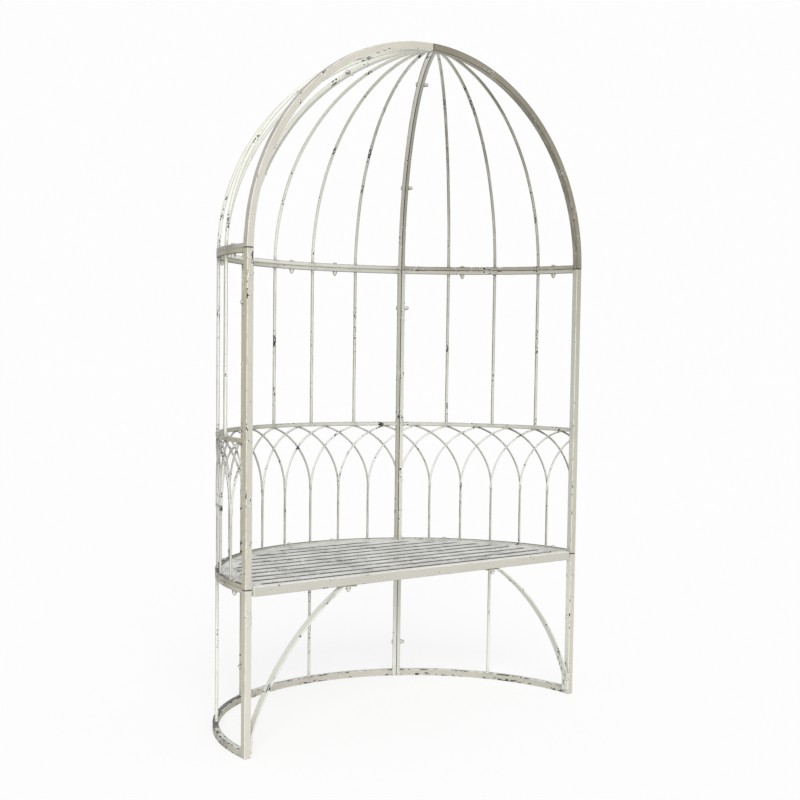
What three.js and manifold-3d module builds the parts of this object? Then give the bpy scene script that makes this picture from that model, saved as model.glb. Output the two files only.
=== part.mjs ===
// Half-round garden arbour seat. Three tiers of welded steel panels make a birdcage that is open
// at the front: a low tier, a tall tier with a lattice of crossing arches, and a quarter-sphere
// dome behind a round front arch. A slatted half-moon seat hangs inside, held up in front by two
// curved braces. Millimetres, +Z up. The open front faces -Y, and the origin is on the ground
// under the middle of the whole.
//
// Plan angles are measured at the plan centre, from 0 at the right front leg over the back to
// 180 degrees at the left one. The right half is built, and the left half is its mirror image.

import * as THREE from 'three';
import { mergeVertices } from 'three/addons/utils/BufferGeometryUtils.js';
import Module from 'manifold-3d';

const wasm = await Module();
wasm.setup();

// Overall sizes
const HALF_WIDTH = 605; // from the middle to the outer side of a front leg
const SEAT_SEAM_HEIGHT = 450; // where the tall tier stands on the low one
const WAIST_RAIL_TOP = 847;
const RING_HEIGHT = 1345; // where the dome stands on the tall tier

// Clearances
const GAP = 0.3; // between two pieces that touch
const BITE = 1.5; // how far a welded end runs into what it is welded to
const OVERRUN = 5; // how far a cut runs past the faces that it opens
const FINENESS = 1 / 1024; // places are rounded to this, so that level faces are exactly level

// Tubes, bars and rods
const LEG_TUBE = 20; // square tube of the front legs and the front arch
const RAIL_TUBE = 12; // square tube of the curved rails and the posts at the seams
const RIB_WIDTH = 10; // sideways width of the dome's ribs, as deep as the rails
const RAIL_INSET = 7; // rails stand back from the legs' outer side
const BASE_HEIGHT = 21;
const BASE_DEPTH = 16;
const BASE_INSET = 2;
const ROD = 8; // diameter of the plain rods
const UPRIGHT_ROD = 7; // diameter of the lattice's uprights
const ARC_ROD = 6; // diameter of the lattice's arcs

// The panels and what they hold
const PANEL_COUNT = 3; // panels in each tier, over half a circle
const ROD_PLACE_SHARES = [1 / 4, 1 / 2, 3 / 4]; // rods across a panel
const LATTICE_BAYS = 6; // bays across a panel
const ARC_RADIUS_BAYS = 2; // radius of the lattice's arcs
const ARC_REACH_BAYS = 1.5; // bays that each arc spans, up to the waist rail
const UPRIGHT_PROUD = 8; // how far an upright stands up between the feet of its arcs
const SEAM_CROWN_OFFSET = 11; // the dome's seams meet the crown this far from the middle
const ROD_CROWN_OFFSET = 18; // a side panel's dome rods meet the crown this far out

// The seat
const SLAT_THICKNESS = 7;
const SLAT_WIDTH = 40;
const SLAT_GAP = 14;
const RIM_WIDTH = 46;
const RIM_CLEARANCE = 2; // round the rim, to the legs and the rails
const APRON_HEIGHT = 26;
const APRON_DEPTH = 25;
const APRON_END_CLEARANCE = 7; // between the apron's end and the leg
const LUG_LENGTH = 26; // of the lugs that carry the rim, from the rail inwards
const LUG_WIDTH = 25;
const LUG_THICKNESS = 4;
const LUG_PLACE_SHARES = [0.3, 0.72]; // lugs across a panel

// The braces
const BRACE_THICKNESS = 5;
const BRACE_DEPTH = 24;
const BRACE_FOOT_BOTTOM = 12;
const BRACE_FOOT_TOP = 60; // where the brace bends off the leg
const BRACE_BEND_X = 288; // where it bends into the flange under the apron
const BRACE_FLANGE = 44; // length of that flange
const BRACE_RADIUS = 735;
const BRACE_SCREW_HEIGHT = 38;

// Fasteners
const SHANK = 6; // diameter
const HEAD = 14; // diameter
const HEAD_HEIGHT = 4;
const NUT_CORNERS = 13; // across the corners of the hexagon
const NUT_HEX_HEIGHT = 5;
const NUT_CAP = 10.4; // diameter of the cap nut's dome
const NUT_CAP_HEIGHT = 7.5;
const HEAD_CROWN_WIDTH_SHARE = 0.55; // where a head's round flattens towards its top
const HEAD_CROWN_HEIGHT_SHARE = 0.8;
const NUT_CROWN_WIDTH_SHARE = 0.7; // where a nut's dome flattens towards its tip
const NUT_CROWN_HEIGHT_SHARE = 0.72;
const NUT_GRIP = 6; // how far a shank reaches into its nut
const SCREW_GRIP = 12; // how far a brace's screw reaches into the leg
const LOW_SEAM_BOLT_HEIGHT = 113;
const TALL_SEAM_BOLT_DROP = 124; // from the ring down to the tall tier's seam bolt
const DOME_SEAM_BOLT_ANGLES = [26, 65]; // degrees up the dome
const RING_BOLT_ANGLES = [9.3, 40.6, 82]; // degrees in plan, right half
const SEAT_BOLT_ANGLES = [7.2, 45, 82]; // degrees in plan, right half

// Facets
const RAIL_STEP = 7.5; // degrees
const ROD_STEP = 9; // degrees
const ROD_SIDES = 6;
const ARC_SIDES = 5;
const ROUND_SIDES = 8;
const HEX_SIDES = 6;
const ARC_STEPS = 5; // along a whole arc of the lattice
const BRACE_STEPS = 6; // half the facets of the brace's bow

// Places that follow from the sizes
const DEGREE = Math.PI / 180;
const PANEL_ANGLE = Math.PI / PANEL_COUNT;
const BAY_ANGLE = PANEL_ANGLE / LATTICE_BAYS;
const RAIL_OUTER = HALF_WIDTH - RAIL_INSET;
const RAIL_INNER = RAIL_OUTER - RAIL_TUBE;
const RAIL_MIDDLE = (RAIL_OUTER + RAIL_INNER) / 2;
const BASE_OUTER = HALF_WIDTH - BASE_INSET;
const BASE_INNER = BASE_OUTER - BASE_DEPTH;
const LEG_MIDDLE = HALF_WIDTH - LEG_TUBE / 2;
const LEG_INNER = HALF_WIDTH - LEG_TUBE;
const FRONT = -LEG_TUBE / 2; // the front plane, from the plan centre
const LOW_TOP = SEAT_SEAM_HEIGHT - GAP / 2;
const TALL_BOTTOM = SEAT_SEAM_HEIGHT + GAP / 2;
const TALL_TOP = RING_HEIGHT - GAP / 2;
const DOME_BOTTOM = RING_HEIGHT + GAP / 2;
const WAIST_UNDERSIDE = WAIST_RAIL_TOP - RAIL_TUBE;
const BAY = RAIL_MIDDLE * BAY_ANGLE;
const ARC_RADIUS = ARC_RADIUS_BAYS * BAY;
const ARC_REACH = ARC_REACH_BAYS * BAY;
const ARC_FOOT_HEIGHT = WAIST_UNDERSIDE - Math.sqrt(ARC_RADIUS ** 2 - (ARC_RADIUS - ARC_REACH) ** 2);
const SEAT_BOTTOM = TALL_BOTTOM;
const SEAT_TOP = SEAT_BOTTOM + SLAT_THICKNESS;
const RIM_OUTER = Math.min(LEG_INNER, RAIL_INNER) - RIM_CLEARANCE;
const RIM_INNER = RIM_OUTER - RIM_WIDTH;
const APRON_BOTTOM = SEAT_TOP - APRON_HEIGHT;
const STUD_X = BRACE_BEND_X - BRACE_FLANGE / 2;
const APRON_MIDDLE = FRONT + APRON_DEPTH / 2;
const PART_DEPTH = LEG_TUBE / 2 + BASE_OUTER;
const UP = new THREE.Vector3(0, 0, 1);

// A side panel runs from a front leg to the first seam, and the back panel from seam to seam.
// Posts stand half a gap off the seam's plane. The rails end in the middle of their posts.
const POST_OFFSET = (GAP + RAIL_TUBE) / 2;
const SIDE = { from: 0, to: PANEL_ANGLE, startInset: 0, endInset: POST_OFFSET };
const BACK = { from: PANEL_ANGLE, to: 2 * PANEL_ANGLE, startInset: POST_OFFSET, endInset: POST_OFFSET };

// Finishes: old cream paint, darker on the front arch
const paint = (color) => new THREE.MeshStandardMaterial({ color, roughness: 0.62, metalness: 0.1 });
const CREAM = 0xd9d4c3;
const SHADED_CREAM = 0xcfcab8;
const SEAT_CREAM = 0xdcd8cb;
const FASTENER_CREAM = 0xe2ddcf;

// Solids

// Turns a closed geometry into a solid.
function solidOf(geometry) {
  const bare = geometry.clone();
  bare.deleteAttribute('normal');
  bare.deleteAttribute('uv');
  const places = bare.attributes.position.array;
  places.forEach((value, i) => { places[i] = Math.round(value / FINENESS) * FINENESS; });
  const merged = mergeVertices(bare);
  return new wasm.Manifold(
    new wasm.Mesh({
      numProp: 3,
      vertProperties: merged.attributes.position.array,
      triVerts: new Uint32Array(merged.index.array),
    }),
  );
}

const joined = (geometries) => geometries.map(solidOf).reduce((whole, piece) => whole.add(piece));
const cut = (solid, tools) => tools.map(solidOf).reduce((rest, tool) => rest.subtract(tool), solid);

// Turns a solid into a named mesh with flat faces.
function meshOf(name, solid, material) {
  const { vertProperties, triVerts } = solid.getMesh();
  const indexed = new THREE.BufferGeometry();
  indexed.setAttribute('position', new THREE.BufferAttribute(vertProperties, 3));
  indexed.setIndex(new THREE.BufferAttribute(triVerts, 1));
  const geometry = indexed.toNonIndexed();
  geometry.computeVertexNormals();
  const mesh = new THREE.Mesh(geometry, material);
  mesh.name = name;
  return mesh;
}

// The mirror image of a mesh in the plane x = 0.
function mirrorOf(mesh, name) {
  const copy = new THREE.Mesh(mesh.geometry, mesh.material.clone());
  copy.name = name;
  copy.scale.x = -1;
  return copy;
}

// Plain lengths of tube, bar and rod

// A flat ring sector in the plane, between two radii, with an angle for each end of each radius.
function sectorShape(inner, outer, startAt, endAt) {
  const shape = new THREE.Shape();
  shape.absarc(0, 0, outer, startAt(outer), endAt(outer), false);
  shape.absarc(0, 0, inner, endAt(inner), startAt(inner), true);
  return shape;
}

// curveSegments counts half the facets of an arc.
function extruded(shape, depth, sweep) {
  const curveSegments = Math.max(1, Math.round(sweep / DEGREE / RAIL_STEP / 2));
  return new THREE.ExtrudeGeometry(shape, { depth, bevelEnabled: false, curveSegments });
}

// A level rail that follows the half circle over one panel.
function curvedRail(inner, outer, bottom, height, panel) {
  const startAt = (radius) => panel.from + Math.asin(panel.startInset / radius);
  const endAt = (radius) => panel.to - Math.asin(panel.endInset / radius);
  const shape = sectorShape(inner, outer, startAt, endAt);
  return extruded(shape, height, panel.to - panel.from).translate(0, 0, bottom);
}

const tubeRail = (bottom, panel) => curvedRail(RAIL_INNER, RAIL_OUTER, bottom, RAIL_TUBE, panel);

// A length of a front leg.
function frontPost(bottom, top) {
  return new THREE.BoxGeometry(LEG_TUBE, LEG_TUBE, top - bottom)
    .translate(LEG_MIDDLE, 0, (bottom + top) / 2);
}

// A post beside a seam: side is -1 on the seam's right, towards the right leg, and 1 on its left.
function seamPost(seamAngle, side, bottom, top) {
  return new THREE.BoxGeometry(RAIL_TUBE, RAIL_TUBE, top - bottom)
    .translate(RAIL_MIDDLE, side * POST_OFFSET, (bottom + top) / 2)
    .rotateZ(seamAngle);
}

// An upright rod in the wall, both ends let into the rails.
function uprightRod(diameter, angle, bottom, top) {
  return new THREE.CylinderGeometry(diameter / 2, diameter / 2, top - bottom, ROD_SIDES)
    .rotateX(Math.PI / 2)
    .translate(RAIL_MIDDLE, 0, (bottom + top) / 2)
    .rotateZ(angle);
}

// A round rod along a curve.
function bentRod(diameter, sides, curve, steps) {
  const corners = Array.from({ length: sides }, (_, i) => {
    const turn = (2 * Math.PI * i) / sides;
    return new THREE.Vector2(Math.cos(turn), Math.sin(turn)).multiplyScalar(diameter / 2);
  });
  return new THREE.ExtrudeGeometry(new THREE.Shape(corners), { extrudePath: curve, steps });
}

const placeInPanel = (panel, share) => panel.from + share * (panel.to - panel.from);

// The panel's own posts: a front leg or a seam post at its start, a seam post at its end.
function panelPosts(panel, bottom, top) {
  const first = panel === SIDE ? frontPost(bottom, top) : seamPost(panel.from, 1, bottom, top);
  return [first, seamPost(panel.to, -1, bottom, top)];
}

// Lattice of crossing arches

// An arc of the lattice: it leaves its foot upright, leans over to one side along the wall and
// reaches the waist rail. Unrolled, it is part of a circle. It is given by how far along the wall
// it starts and ends.
class LatticeArc extends THREE.Curve {
  constructor({ footAngle, lean, wallRadius, startTravel, endTravel }) {
    super();
    this.footAngle = footAngle;
    this.lean = lean;
    this.wallRadius = wallRadius;
    const footTurn = (-lean * BITE) / ARC_RADIUS;
    this.startTurn = startTravel > 0 ? Math.acos(1 - startTravel / ARC_RADIUS) : footTurn;
    this.endTurn = Math.acos(1 - endTravel / ARC_RADIUS);
  }

  getPoint(share, target = new THREE.Vector3()) {
    const turn = this.startTurn + share * (this.endTurn - this.startTurn);
    const travel = ARC_RADIUS * (1 - Math.cos(turn));
    const angle = this.footAngle + (this.lean * travel) / RAIL_MIDDLE;
    const height = ARC_FOOT_HEIGHT + ARC_RADIUS * Math.sin(turn);
    return target.set(this.wallRadius * Math.cos(angle), this.wallRadius * Math.sin(angle), height);
  }
}

// The arcs that lean left lie in front of those that lean right, and touch them where they cross.
// One that would pass the panel's edge starts or ends in the post there.
function latticeArcs(panel) {
  const reach = ARC_REACH + BITE;
  const outwards = (ARC_ROD * Math.cos(Math.PI / ARC_SIDES) - BITE) / 2;
  const arcs = [];
  for (const lean of [1, -1]) {
    const wallRadius = RAIL_MIDDLE + lean * outwards;
    const firstAngle = lean > 0 ? panel.from : panel.to;
    const nearEdge = lean > 0 ? panel.startInset : panel.endInset;
    const farEdge = lean > 0 ? panel.endInset : panel.startInset;
    for (let foot = 1 - Math.ceil(ARC_REACH_BAYS); foot < LATTICE_BAYS; foot++) {
      const startTravel = Math.max(0, nearEdge - foot * BAY);
      const endTravel = Math.min(reach, (LATTICE_BAYS - foot) * BAY - farEdge);
      const footAngle = firstAngle + lean * foot * BAY_ANGLE;
      const curve = new LatticeArc({ footAngle, lean, wallRadius, startTravel, endTravel });
      const share = (endTravel - startTravel) / reach;
      arcs.push(bentRod(ARC_ROD, ARC_SIDES, curve, Math.ceil(ARC_STEPS * share)));
    }
  }
  return arcs;
}

function latticeUprights(panel) {
  const top = ARC_FOOT_HEIGHT + UPRIGHT_PROUD;
  const bottom = TALL_BOTTOM + RAIL_TUBE - BITE;
  return Array.from({ length: LATTICE_BAYS - 1 }, (_, i) =>
    uprightRod(UPRIGHT_ROD, placeInPanel(panel, (i + 1) / LATTICE_BAYS), bottom, top),
  );
}

// Dome

// The upright circle in which a rib or a rod of the dome lies. It passes over the plan point at
// the ring, at the given radius and angle, and its plane passes the given way off the crown.
function domeArc(ringAngle, crownOffset) {
  const ring = new THREE.Vector2(Math.cos(ringAngle), Math.sin(ringAngle)).multiplyScalar(RAIL_MIDDLE);
  const outwards = ring.clone().sub(new THREE.Vector2(crownOffset, 0)).normalize();
  const foot = ring.clone().sub(outwards.clone().multiplyScalar(ring.dot(outwards)));
  return {
    centre: new THREE.Vector3(foot.x, foot.y, DOME_BOTTOM),
    outwards: new THREE.Vector3(outwards.x, outwards.y, 0),
    sideways: new THREE.Vector3(outwards.y, -outwards.x, 0),
    radiusAt: (domeRadius) => Math.sqrt(domeRadius ** 2 - foot.lengthSq()),
    turnAtDepth: (domeRadius, depth) =>
      Math.acos((depth - foot.y) / outwards.y / Math.sqrt(domeRadius ** 2 - foot.lengthSq())),
  };
}

class DomeRodCurve extends THREE.Curve {
  constructor(arc, startTurn, endTurn) {
    super();
    this.arc = arc;
    this.startTurn = startTurn;
    this.endTurn = endTurn;
  }

  getPoint(share, target = new THREE.Vector3()) {
    const turn = this.startTurn + share * (this.endTurn - this.startTurn);
    const radius = this.arc.radiusAt(RAIL_MIDDLE);
    return target
      .copy(this.arc.centre)
      .addScaledVector(this.arc.outwards, radius * Math.cos(turn))
      .addScaledVector(UP, radius * Math.sin(turn));
  }
}

// Where the dome's ribs and rods end, behind the front plane's arch: the side panels run theirs
// into the arch that they are welded to.
const RIB_END_DEPTH = LEG_TUBE / 4;

// A rib beside a dome seam, on the seam's right when side is -1 and on its left when it is 1.
function seamRib(seamAngle, side) {
  const crownSide = Math.sign(Math.cos(seamAngle));
  const arc = domeArc(seamAngle, crownSide * SEAM_CROWN_OFFSET);
  const endTurn = arc.turnAtDepth(RAIL_MIDDLE, RIB_END_DEPTH);
  const shape = sectorShape(arc.radiusAt(RAIL_INNER), arc.radiusAt(RAIL_OUTER), () => 0, () => endTurn);
  const offset = side < 0 ? GAP / 2 : -GAP / 2 - RIB_WIDTH;
  const place = new THREE.Matrix4().makeBasis(arc.outwards, UP, arc.sideways);
  place.setPosition(arc.centre.clone().addScaledVector(arc.sideways, offset));
  return extruded(shape, RIB_WIDTH, endTurn).applyMatrix4(place);
}

function domeRod(angle, crownOffset) {
  const arc = domeArc(angle, crownOffset);
  const startTurn = Math.asin((RAIL_TUBE - BITE) / RAIL_MIDDLE);
  const endTurn = arc.turnAtDepth(RAIL_MIDDLE, RIB_END_DEPTH);
  const curve = new DomeRodCurve(arc, startTurn, endTurn);
  return bentRod(ROD, ROD_SIDES, curve, Math.round((endTurn - startTurn) / DEGREE / ROD_STEP));
}

// The right half of the front arch, up to the seam at the crown.
function archHalf() {
  const endAt = (radius) => Math.PI / 2 - Math.asin(GAP / 2 / radius);
  return extruded(sectorShape(LEG_INNER, HALF_WIDTH, () => 0, endAt), LEG_TUBE, Math.PI / 2)
    .rotateX(Math.PI / 2)
    .translate(0, LEG_TUBE / 2, DOME_BOTTOM);
}

// Fasteners
// Each is placed by the middle of what it clamps, the direction of its head and its grip.

const wallPoint = (angle, height) =>
  new THREE.Vector3(RAIL_MIDDLE * Math.cos(angle), RAIL_MIDDLE * Math.sin(angle), height);

const mirrored = ({ name, middle, head, grip }) => ({
  name,
  middle: middle.clone().setX(-middle.x),
  head: head.clone().setX(-head.x),
  grip,
});

// Bolts through the paired posts and ribs at the right seam, heads on the back panel's side.
function seamBolts() {
  const throughPosts = (name, height) => ({
    name,
    middle: wallPoint(PANEL_ANGLE, height),
    head: new THREE.Vector3(-Math.sin(PANEL_ANGLE), Math.cos(PANEL_ANGLE), 0),
    grip: 2 * RAIL_TUBE + GAP,
  });
  const dome = domeArc(PANEL_ANGLE, SEAM_CROWN_OFFSET);
  const radius = dome.radiusAt(RAIL_MIDDLE);
  const throughRibs = DOME_SEAM_BOLT_ANGLES.map((angle, i) => ({
    name: `dome_seam_${i + 1}`,
    middle: dome.centre
      .clone()
      .addScaledVector(dome.outwards, radius * Math.cos(angle * DEGREE))
      .addScaledVector(UP, radius * Math.sin(angle * DEGREE)),
    head: dome.sideways.clone().negate(),
    grip: 2 * RIB_WIDTH + GAP,
  }));
  return {
    low: [throughPosts('low_seam', LOW_SEAM_BOLT_HEIGHT)],
    tall: [throughPosts('tall_seam', RING_HEIGHT - TALL_SEAM_BOLT_DROP)],
    dome: throughRibs,
  };
}

// Bolts down through two rails that lie on each other, heads up.
const railBolts = (name, angles, height) =>
  angles.map((angle, i) => ({
    name: `${name}_${i + 1}`,
    middle: wallPoint(angle * DEGREE, height),
    head: UP.clone(),
    grip: 2 * RAIL_TUBE + GAP,
  }));

const seam = seamBolts();
const ringBolts = railBolts('ring', RING_BOLT_ANGLES, RING_HEIGHT);
const seatBolts = railBolts('seat_rail', SEAT_BOLT_ANGLES, SEAT_SEAM_HEIGHT);
const isOnSide = ({ middle }) => Math.atan2(middle.y, middle.x) < PANEL_ANGLE;

// A drilled hole for a fastener, with the clearance between its flats and the shank.
const HOLE_RADIUS = (SHANK / 2 + GAP) / Math.cos(Math.PI / HEX_SIDES);

function drillFor({ middle, head, grip }) {
  const turn = new THREE.Quaternion().setFromUnitVectors(UP, head);
  return new THREE.CylinderGeometry(HOLE_RADIUS, HOLE_RADIUS, grip + 2 * OVERRUN, HEX_SIDES)
    .rotateX(Math.PI / 2)
    .applyQuaternion(turn)
    .translate(middle.x, middle.y, middle.z);
}

// A side panel's share of the fasteners, and the back panel's, which has both halves' ones.
const sideDrills = (seamList, railList) => [...seamList, ...railList.filter(isOnSide)].map(drillFor);
function backDrills(seamList, railList) {
  const right = [...seamList, ...railList.filter((bolt) => !isOnSide(bolt))];
  return [...right, ...right.map(mirrored)].map(drillFor);
}

const profile = (points) => points.map(([radius, height]) => new THREE.Vector2(radius, height));

// A bolt or screw with a low round head. Its head sits on z = 0 and its shank hangs below.
function boltGeometry(length) {
  return new THREE.LatheGeometry(
    profile([
      [0, -length],
      [SHANK / 2, -length],
      [SHANK / 2, 0],
      [HEAD / 2, 0],
      [(HEAD_CROWN_WIDTH_SHARE * HEAD) / 2, HEAD_CROWN_HEIGHT_SHARE * HEAD_HEIGHT],
      [0, HEAD_HEIGHT],
    ]),
    ROUND_SIDES,
  ).rotateX(Math.PI / 2);
}

// A cap nut: a hexagon with a cap below it, and a blind bore that opens at z = 0.
const NUT_GEOMETRY = new THREE.LatheGeometry(
  profile([
    [0, -NUT_HEX_HEIGHT - NUT_CAP_HEIGHT],
    [(NUT_CROWN_WIDTH_SHARE * NUT_CAP) / 2, -NUT_HEX_HEIGHT - NUT_CROWN_HEIGHT_SHARE * NUT_CAP_HEIGHT],
    [NUT_CAP / 2, -NUT_HEX_HEIGHT],
    [NUT_CORNERS / 2, -NUT_HEX_HEIGHT],
    [NUT_CORNERS / 2, 0],
    [HOLE_RADIUS, 0],
    [HOLE_RADIUS, -NUT_GRIP - BITE],
    [0, -NUT_GRIP - BITE],
  ]),
  HEX_SIDES,
).rotateX(Math.PI / 2);

function placed(mesh, name, position, head) {
  mesh.name = name;
  mesh.position.copy(position);
  mesh.quaternion.setFromUnitVectors(UP, head);
  return mesh;
}

function bolt(name, { middle, head, grip }) {
  const length = grip + 2 * GAP + NUT_GRIP;
  const mesh = meshOf(name, solidOf(boltGeometry(length)), paint(FASTENER_CREAM));
  return placed(mesh, name, middle.clone().addScaledVector(head, grip / 2 + GAP), head);
}

function nut(name, { middle, head, grip }) {
  const mesh = meshOf(name, solidOf(NUT_GEOMETRY), paint(FASTENER_CREAM));
  return placed(mesh, name, middle.clone().addScaledVector(head, -grip / 2 - GAP), head);
}

const boltedPair = (name, place) => [bolt(`${name}_bolt`, place), nut(`${name}_nut`, place)];

const bothSides = (places) =>
  places.flatMap((place) => [
    ...boltedPair(`${place.name}_right`, place),
    ...boltedPair(`${place.name}_left`, mirrored(place)),
  ]);

// The low tier: a base rail on the ground, a top rail, one rod in the middle of each panel and
// the lugs that the seat's rim rests on.
function lug(angle) {
  return new THREE.BoxGeometry(LUG_LENGTH + BITE, LUG_WIDTH, LUG_THICKNESS)
    .translate(RAIL_INNER + (BITE - LUG_LENGTH) / 2, 0, LOW_TOP - LUG_THICKNESS / 2)
    .rotateZ(angle);
}

function lowPanel(panel) {
  const rodAngle = placeInPanel(panel, 1 / 2);
  const [near, far] = LUG_PLACE_SHARES;
  const lugShares = panel === SIDE ? [near, far] : [1 - far, far];
  return joined([
    curvedRail(BASE_INNER, BASE_OUTER, 0, BASE_HEIGHT, panel),
    tubeRail(LOW_TOP - RAIL_TUBE, panel),
    ...panelPosts(panel, 0, LOW_TOP),
    uprightRod(ROD, rodAngle, BASE_HEIGHT - BITE, LOW_TOP - RAIL_TUBE + BITE),
    ...lugShares.map((share) => lug(placeInPanel(panel, share))),
  ]);
}

// The tall tier: three rails, the lattice between the lower two and plain rods above.
function tallPanel(panel) {
  const plainRods = ROD_PLACE_SHARES.map((share) =>
    uprightRod(ROD, placeInPanel(panel, share), WAIST_RAIL_TOP - BITE, TALL_TOP - RAIL_TUBE + BITE),
  );
  return joined([
    tubeRail(TALL_BOTTOM, panel),
    tubeRail(WAIST_UNDERSIDE, panel),
    tubeRail(TALL_TOP - RAIL_TUBE, panel),
    ...panelPosts(panel, TALL_BOTTOM, TALL_TOP),
    ...latticeUprights(panel),
    ...latticeArcs(panel),
    ...plainRods,
  ]);
}

// The dome: a ring rail, a rib on each side of the seams and the rods between. The side panels
// carry half of the front arch. The back panel's ribs and rods stop behind the arch.
function domeSidePanel() {
  const rodAngles = ROD_PLACE_SHARES.map((share) => placeInPanel(SIDE, share));
  return joined([
    tubeRail(DOME_BOTTOM, SIDE),
    archHalf(),
    seamRib(SIDE.to, -1),
    ...rodAngles.map((angle) => domeRod(angle, ROD_CROWN_OFFSET)),
  ]);
}

function domeBackPanel() {
  const rodAngles = ROD_PLACE_SHARES.map((share) => placeInPanel(BACK, share));
  const whole = joined([
    tubeRail(DOME_BOTTOM, BACK),
    seamRib(BACK.from, 1),
    seamRib(BACK.to, -1),
    ...rodAngles.map((angle) => domeRod(angle, 0)),
  ]);
  const behindArch = LEG_TUBE / 2 + GAP;
  const front = new THREE.BoxGeometry(HALF_WIDTH, HALF_WIDTH, 3 * HALF_WIDTH)
    .translate(0, behindArch - HALF_WIDTH / 2, DOME_BOTTOM);
  return cut(whole, [front]);
}

// The seat: an apron tube in front, a flat rim round the back and slats between, all welded, and
// a stud for each brace under the apron.
function seatSolid() {
  const apronWidth = 2 * (LEG_INNER - APRON_END_CLEARANCE);
  const apron = new THREE.BoxGeometry(apronWidth, APRON_DEPTH, APRON_HEIGHT)
    .translate(0, APRON_MIDDLE, SEAT_TOP - APRON_HEIGHT / 2);
  const rimFront = FRONT + APRON_DEPTH - BITE;
  const rim = extruded(
    sectorShape(
      RIM_INNER,
      RIM_OUTER,
      (radius) => Math.asin(rimFront / radius),
      (radius) => Math.PI - Math.asin(rimFront / radius),
    ),
    SLAT_THICKNESS,
    Math.PI,
  ).translate(0, 0, SEAT_BOTTOM);
  const slats = [];
  const pitch = SLAT_WIDTH + SLAT_GAP;
  for (let near = FRONT + APRON_DEPTH + SLAT_GAP; near < RIM_INNER - BITE; near += pitch) {
    const far = Math.min(near + SLAT_WIDTH, (RIM_INNER + RIM_OUTER) / 2);
    const halfLength = Math.sqrt(RIM_INNER ** 2 - near ** 2) + BITE;
    slats.push(
      new THREE.BoxGeometry(2 * halfLength, far - near, SLAT_THICKNESS)
        .translate(0, (near + far) / 2, SEAT_BOTTOM + SLAT_THICKNESS / 2),
    );
  }
  const studs = [-1, 1].map((side) => {
    const length = BRACE_THICKNESS + 2 * GAP + NUT_GRIP + BITE;
    return new THREE.CylinderGeometry(SHANK / 2, SHANK / 2, length, ROUND_SIDES)
      .rotateX(Math.PI / 2)
      .translate(side * STUD_X, APRON_MIDDLE, APRON_BOTTOM + BITE - length / 2);
  });
  return joined([apron, rim, ...slats, ...studs]);
}

// The right brace: a flat bar, upright against the leg at its foot, then bowed up and inwards to
// a flange under the apron. The bow is an arc of the given radius between the two bends.
const brace = {
  footOuter: LEG_INNER - GAP,
  flangeTop: APRON_BOTTOM - GAP,
};

function braceShape() {
  const half = BRACE_THICKNESS / 2;
  const foot = new THREE.Vector2(brace.footOuter - half, BRACE_FOOT_TOP);
  const bend = new THREE.Vector2(BRACE_BEND_X, brace.flangeTop - half);
  const chord = bend.clone().sub(foot);
  const inward = new THREE.Vector2(-chord.y, chord.x).normalize();
  const depth = Math.sqrt(BRACE_RADIUS ** 2 - chord.lengthSq() / 4);
  const centre = foot.clone().addScaledVector(chord, 1 / 2).addScaledVector(inward, depth);
  const outline = new THREE.Shape();
  const faceArc = (offset, footX, flangeZ, forward) => {
    const radius = BRACE_RADIUS + offset;
    const atFoot = Math.acos((footX - centre.x) / radius);
    const atFlange = Math.asin((flangeZ - centre.y) / radius);
    const [start, end] = forward ? [atFoot, atFlange] : [atFlange, atFoot];
    outline.absarc(centre.x, centre.y, radius, start, end, !forward);
  };
  outline.moveTo(brace.footOuter, BRACE_FOOT_BOTTOM);
  faceArc(half, brace.footOuter, brace.flangeTop, true);
  outline.lineTo(BRACE_BEND_X - BRACE_FLANGE, brace.flangeTop);
  outline.lineTo(BRACE_BEND_X - BRACE_FLANGE, brace.flangeTop - BRACE_THICKNESS);
  faceArc(-half, brace.footOuter - BRACE_THICKNESS, brace.flangeTop - BRACE_THICKNESS, false);
  outline.lineTo(brace.footOuter - BRACE_THICKNESS, BRACE_FOOT_BOTTOM);
  return outline;
}

// The flange's stud and the foot's screw, as fasteners that the brace is drilled for.
const flangePlace = {
  middle: new THREE.Vector3(STUD_X, APRON_MIDDLE, brace.flangeTop - BRACE_THICKNESS / 2),
  head: UP.clone(),
  grip: BRACE_THICKNESS,
};
const footPlace = {
  middle: new THREE.Vector3(brace.footOuter - BRACE_THICKNESS / 2, 0, BRACE_SCREW_HEIGHT),
  head: new THREE.Vector3(-1, 0, 0),
  grip: BRACE_THICKNESS,
};

function braceSolid() {
  const settings = { depth: BRACE_DEPTH, bevelEnabled: false, curveSegments: BRACE_STEPS };
  const bar = new THREE.ExtrudeGeometry(braceShape(), settings)
    .rotateX(Math.PI / 2)
    .translate(0, APRON_MIDDLE + BRACE_DEPTH / 2, 0);
  return cut(solidOf(bar), [flangePlace, footPlace].map(drillFor));
}

// The blind hole in the leg for the brace's screw.
function legScrewHole() {
  const depth = SCREW_GRIP + BITE;
  return new THREE.CylinderGeometry(HOLE_RADIUS, HOLE_RADIUS, depth + OVERRUN, HEX_SIDES)
    .rotateZ(Math.PI / 2)
    .translate(LEG_INNER + (depth - OVERRUN) / 2, 0, BRACE_SCREW_HEIGHT);
}

function footScrew(name, { middle, head, grip }) {
  const length = grip + 2 * GAP + SCREW_GRIP;
  const mesh = meshOf(name, solidOf(boltGeometry(length)), paint(FASTENER_CREAM));
  return placed(mesh, name, middle.clone().addScaledVector(head, grip / 2 + GAP), head);
}

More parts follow.
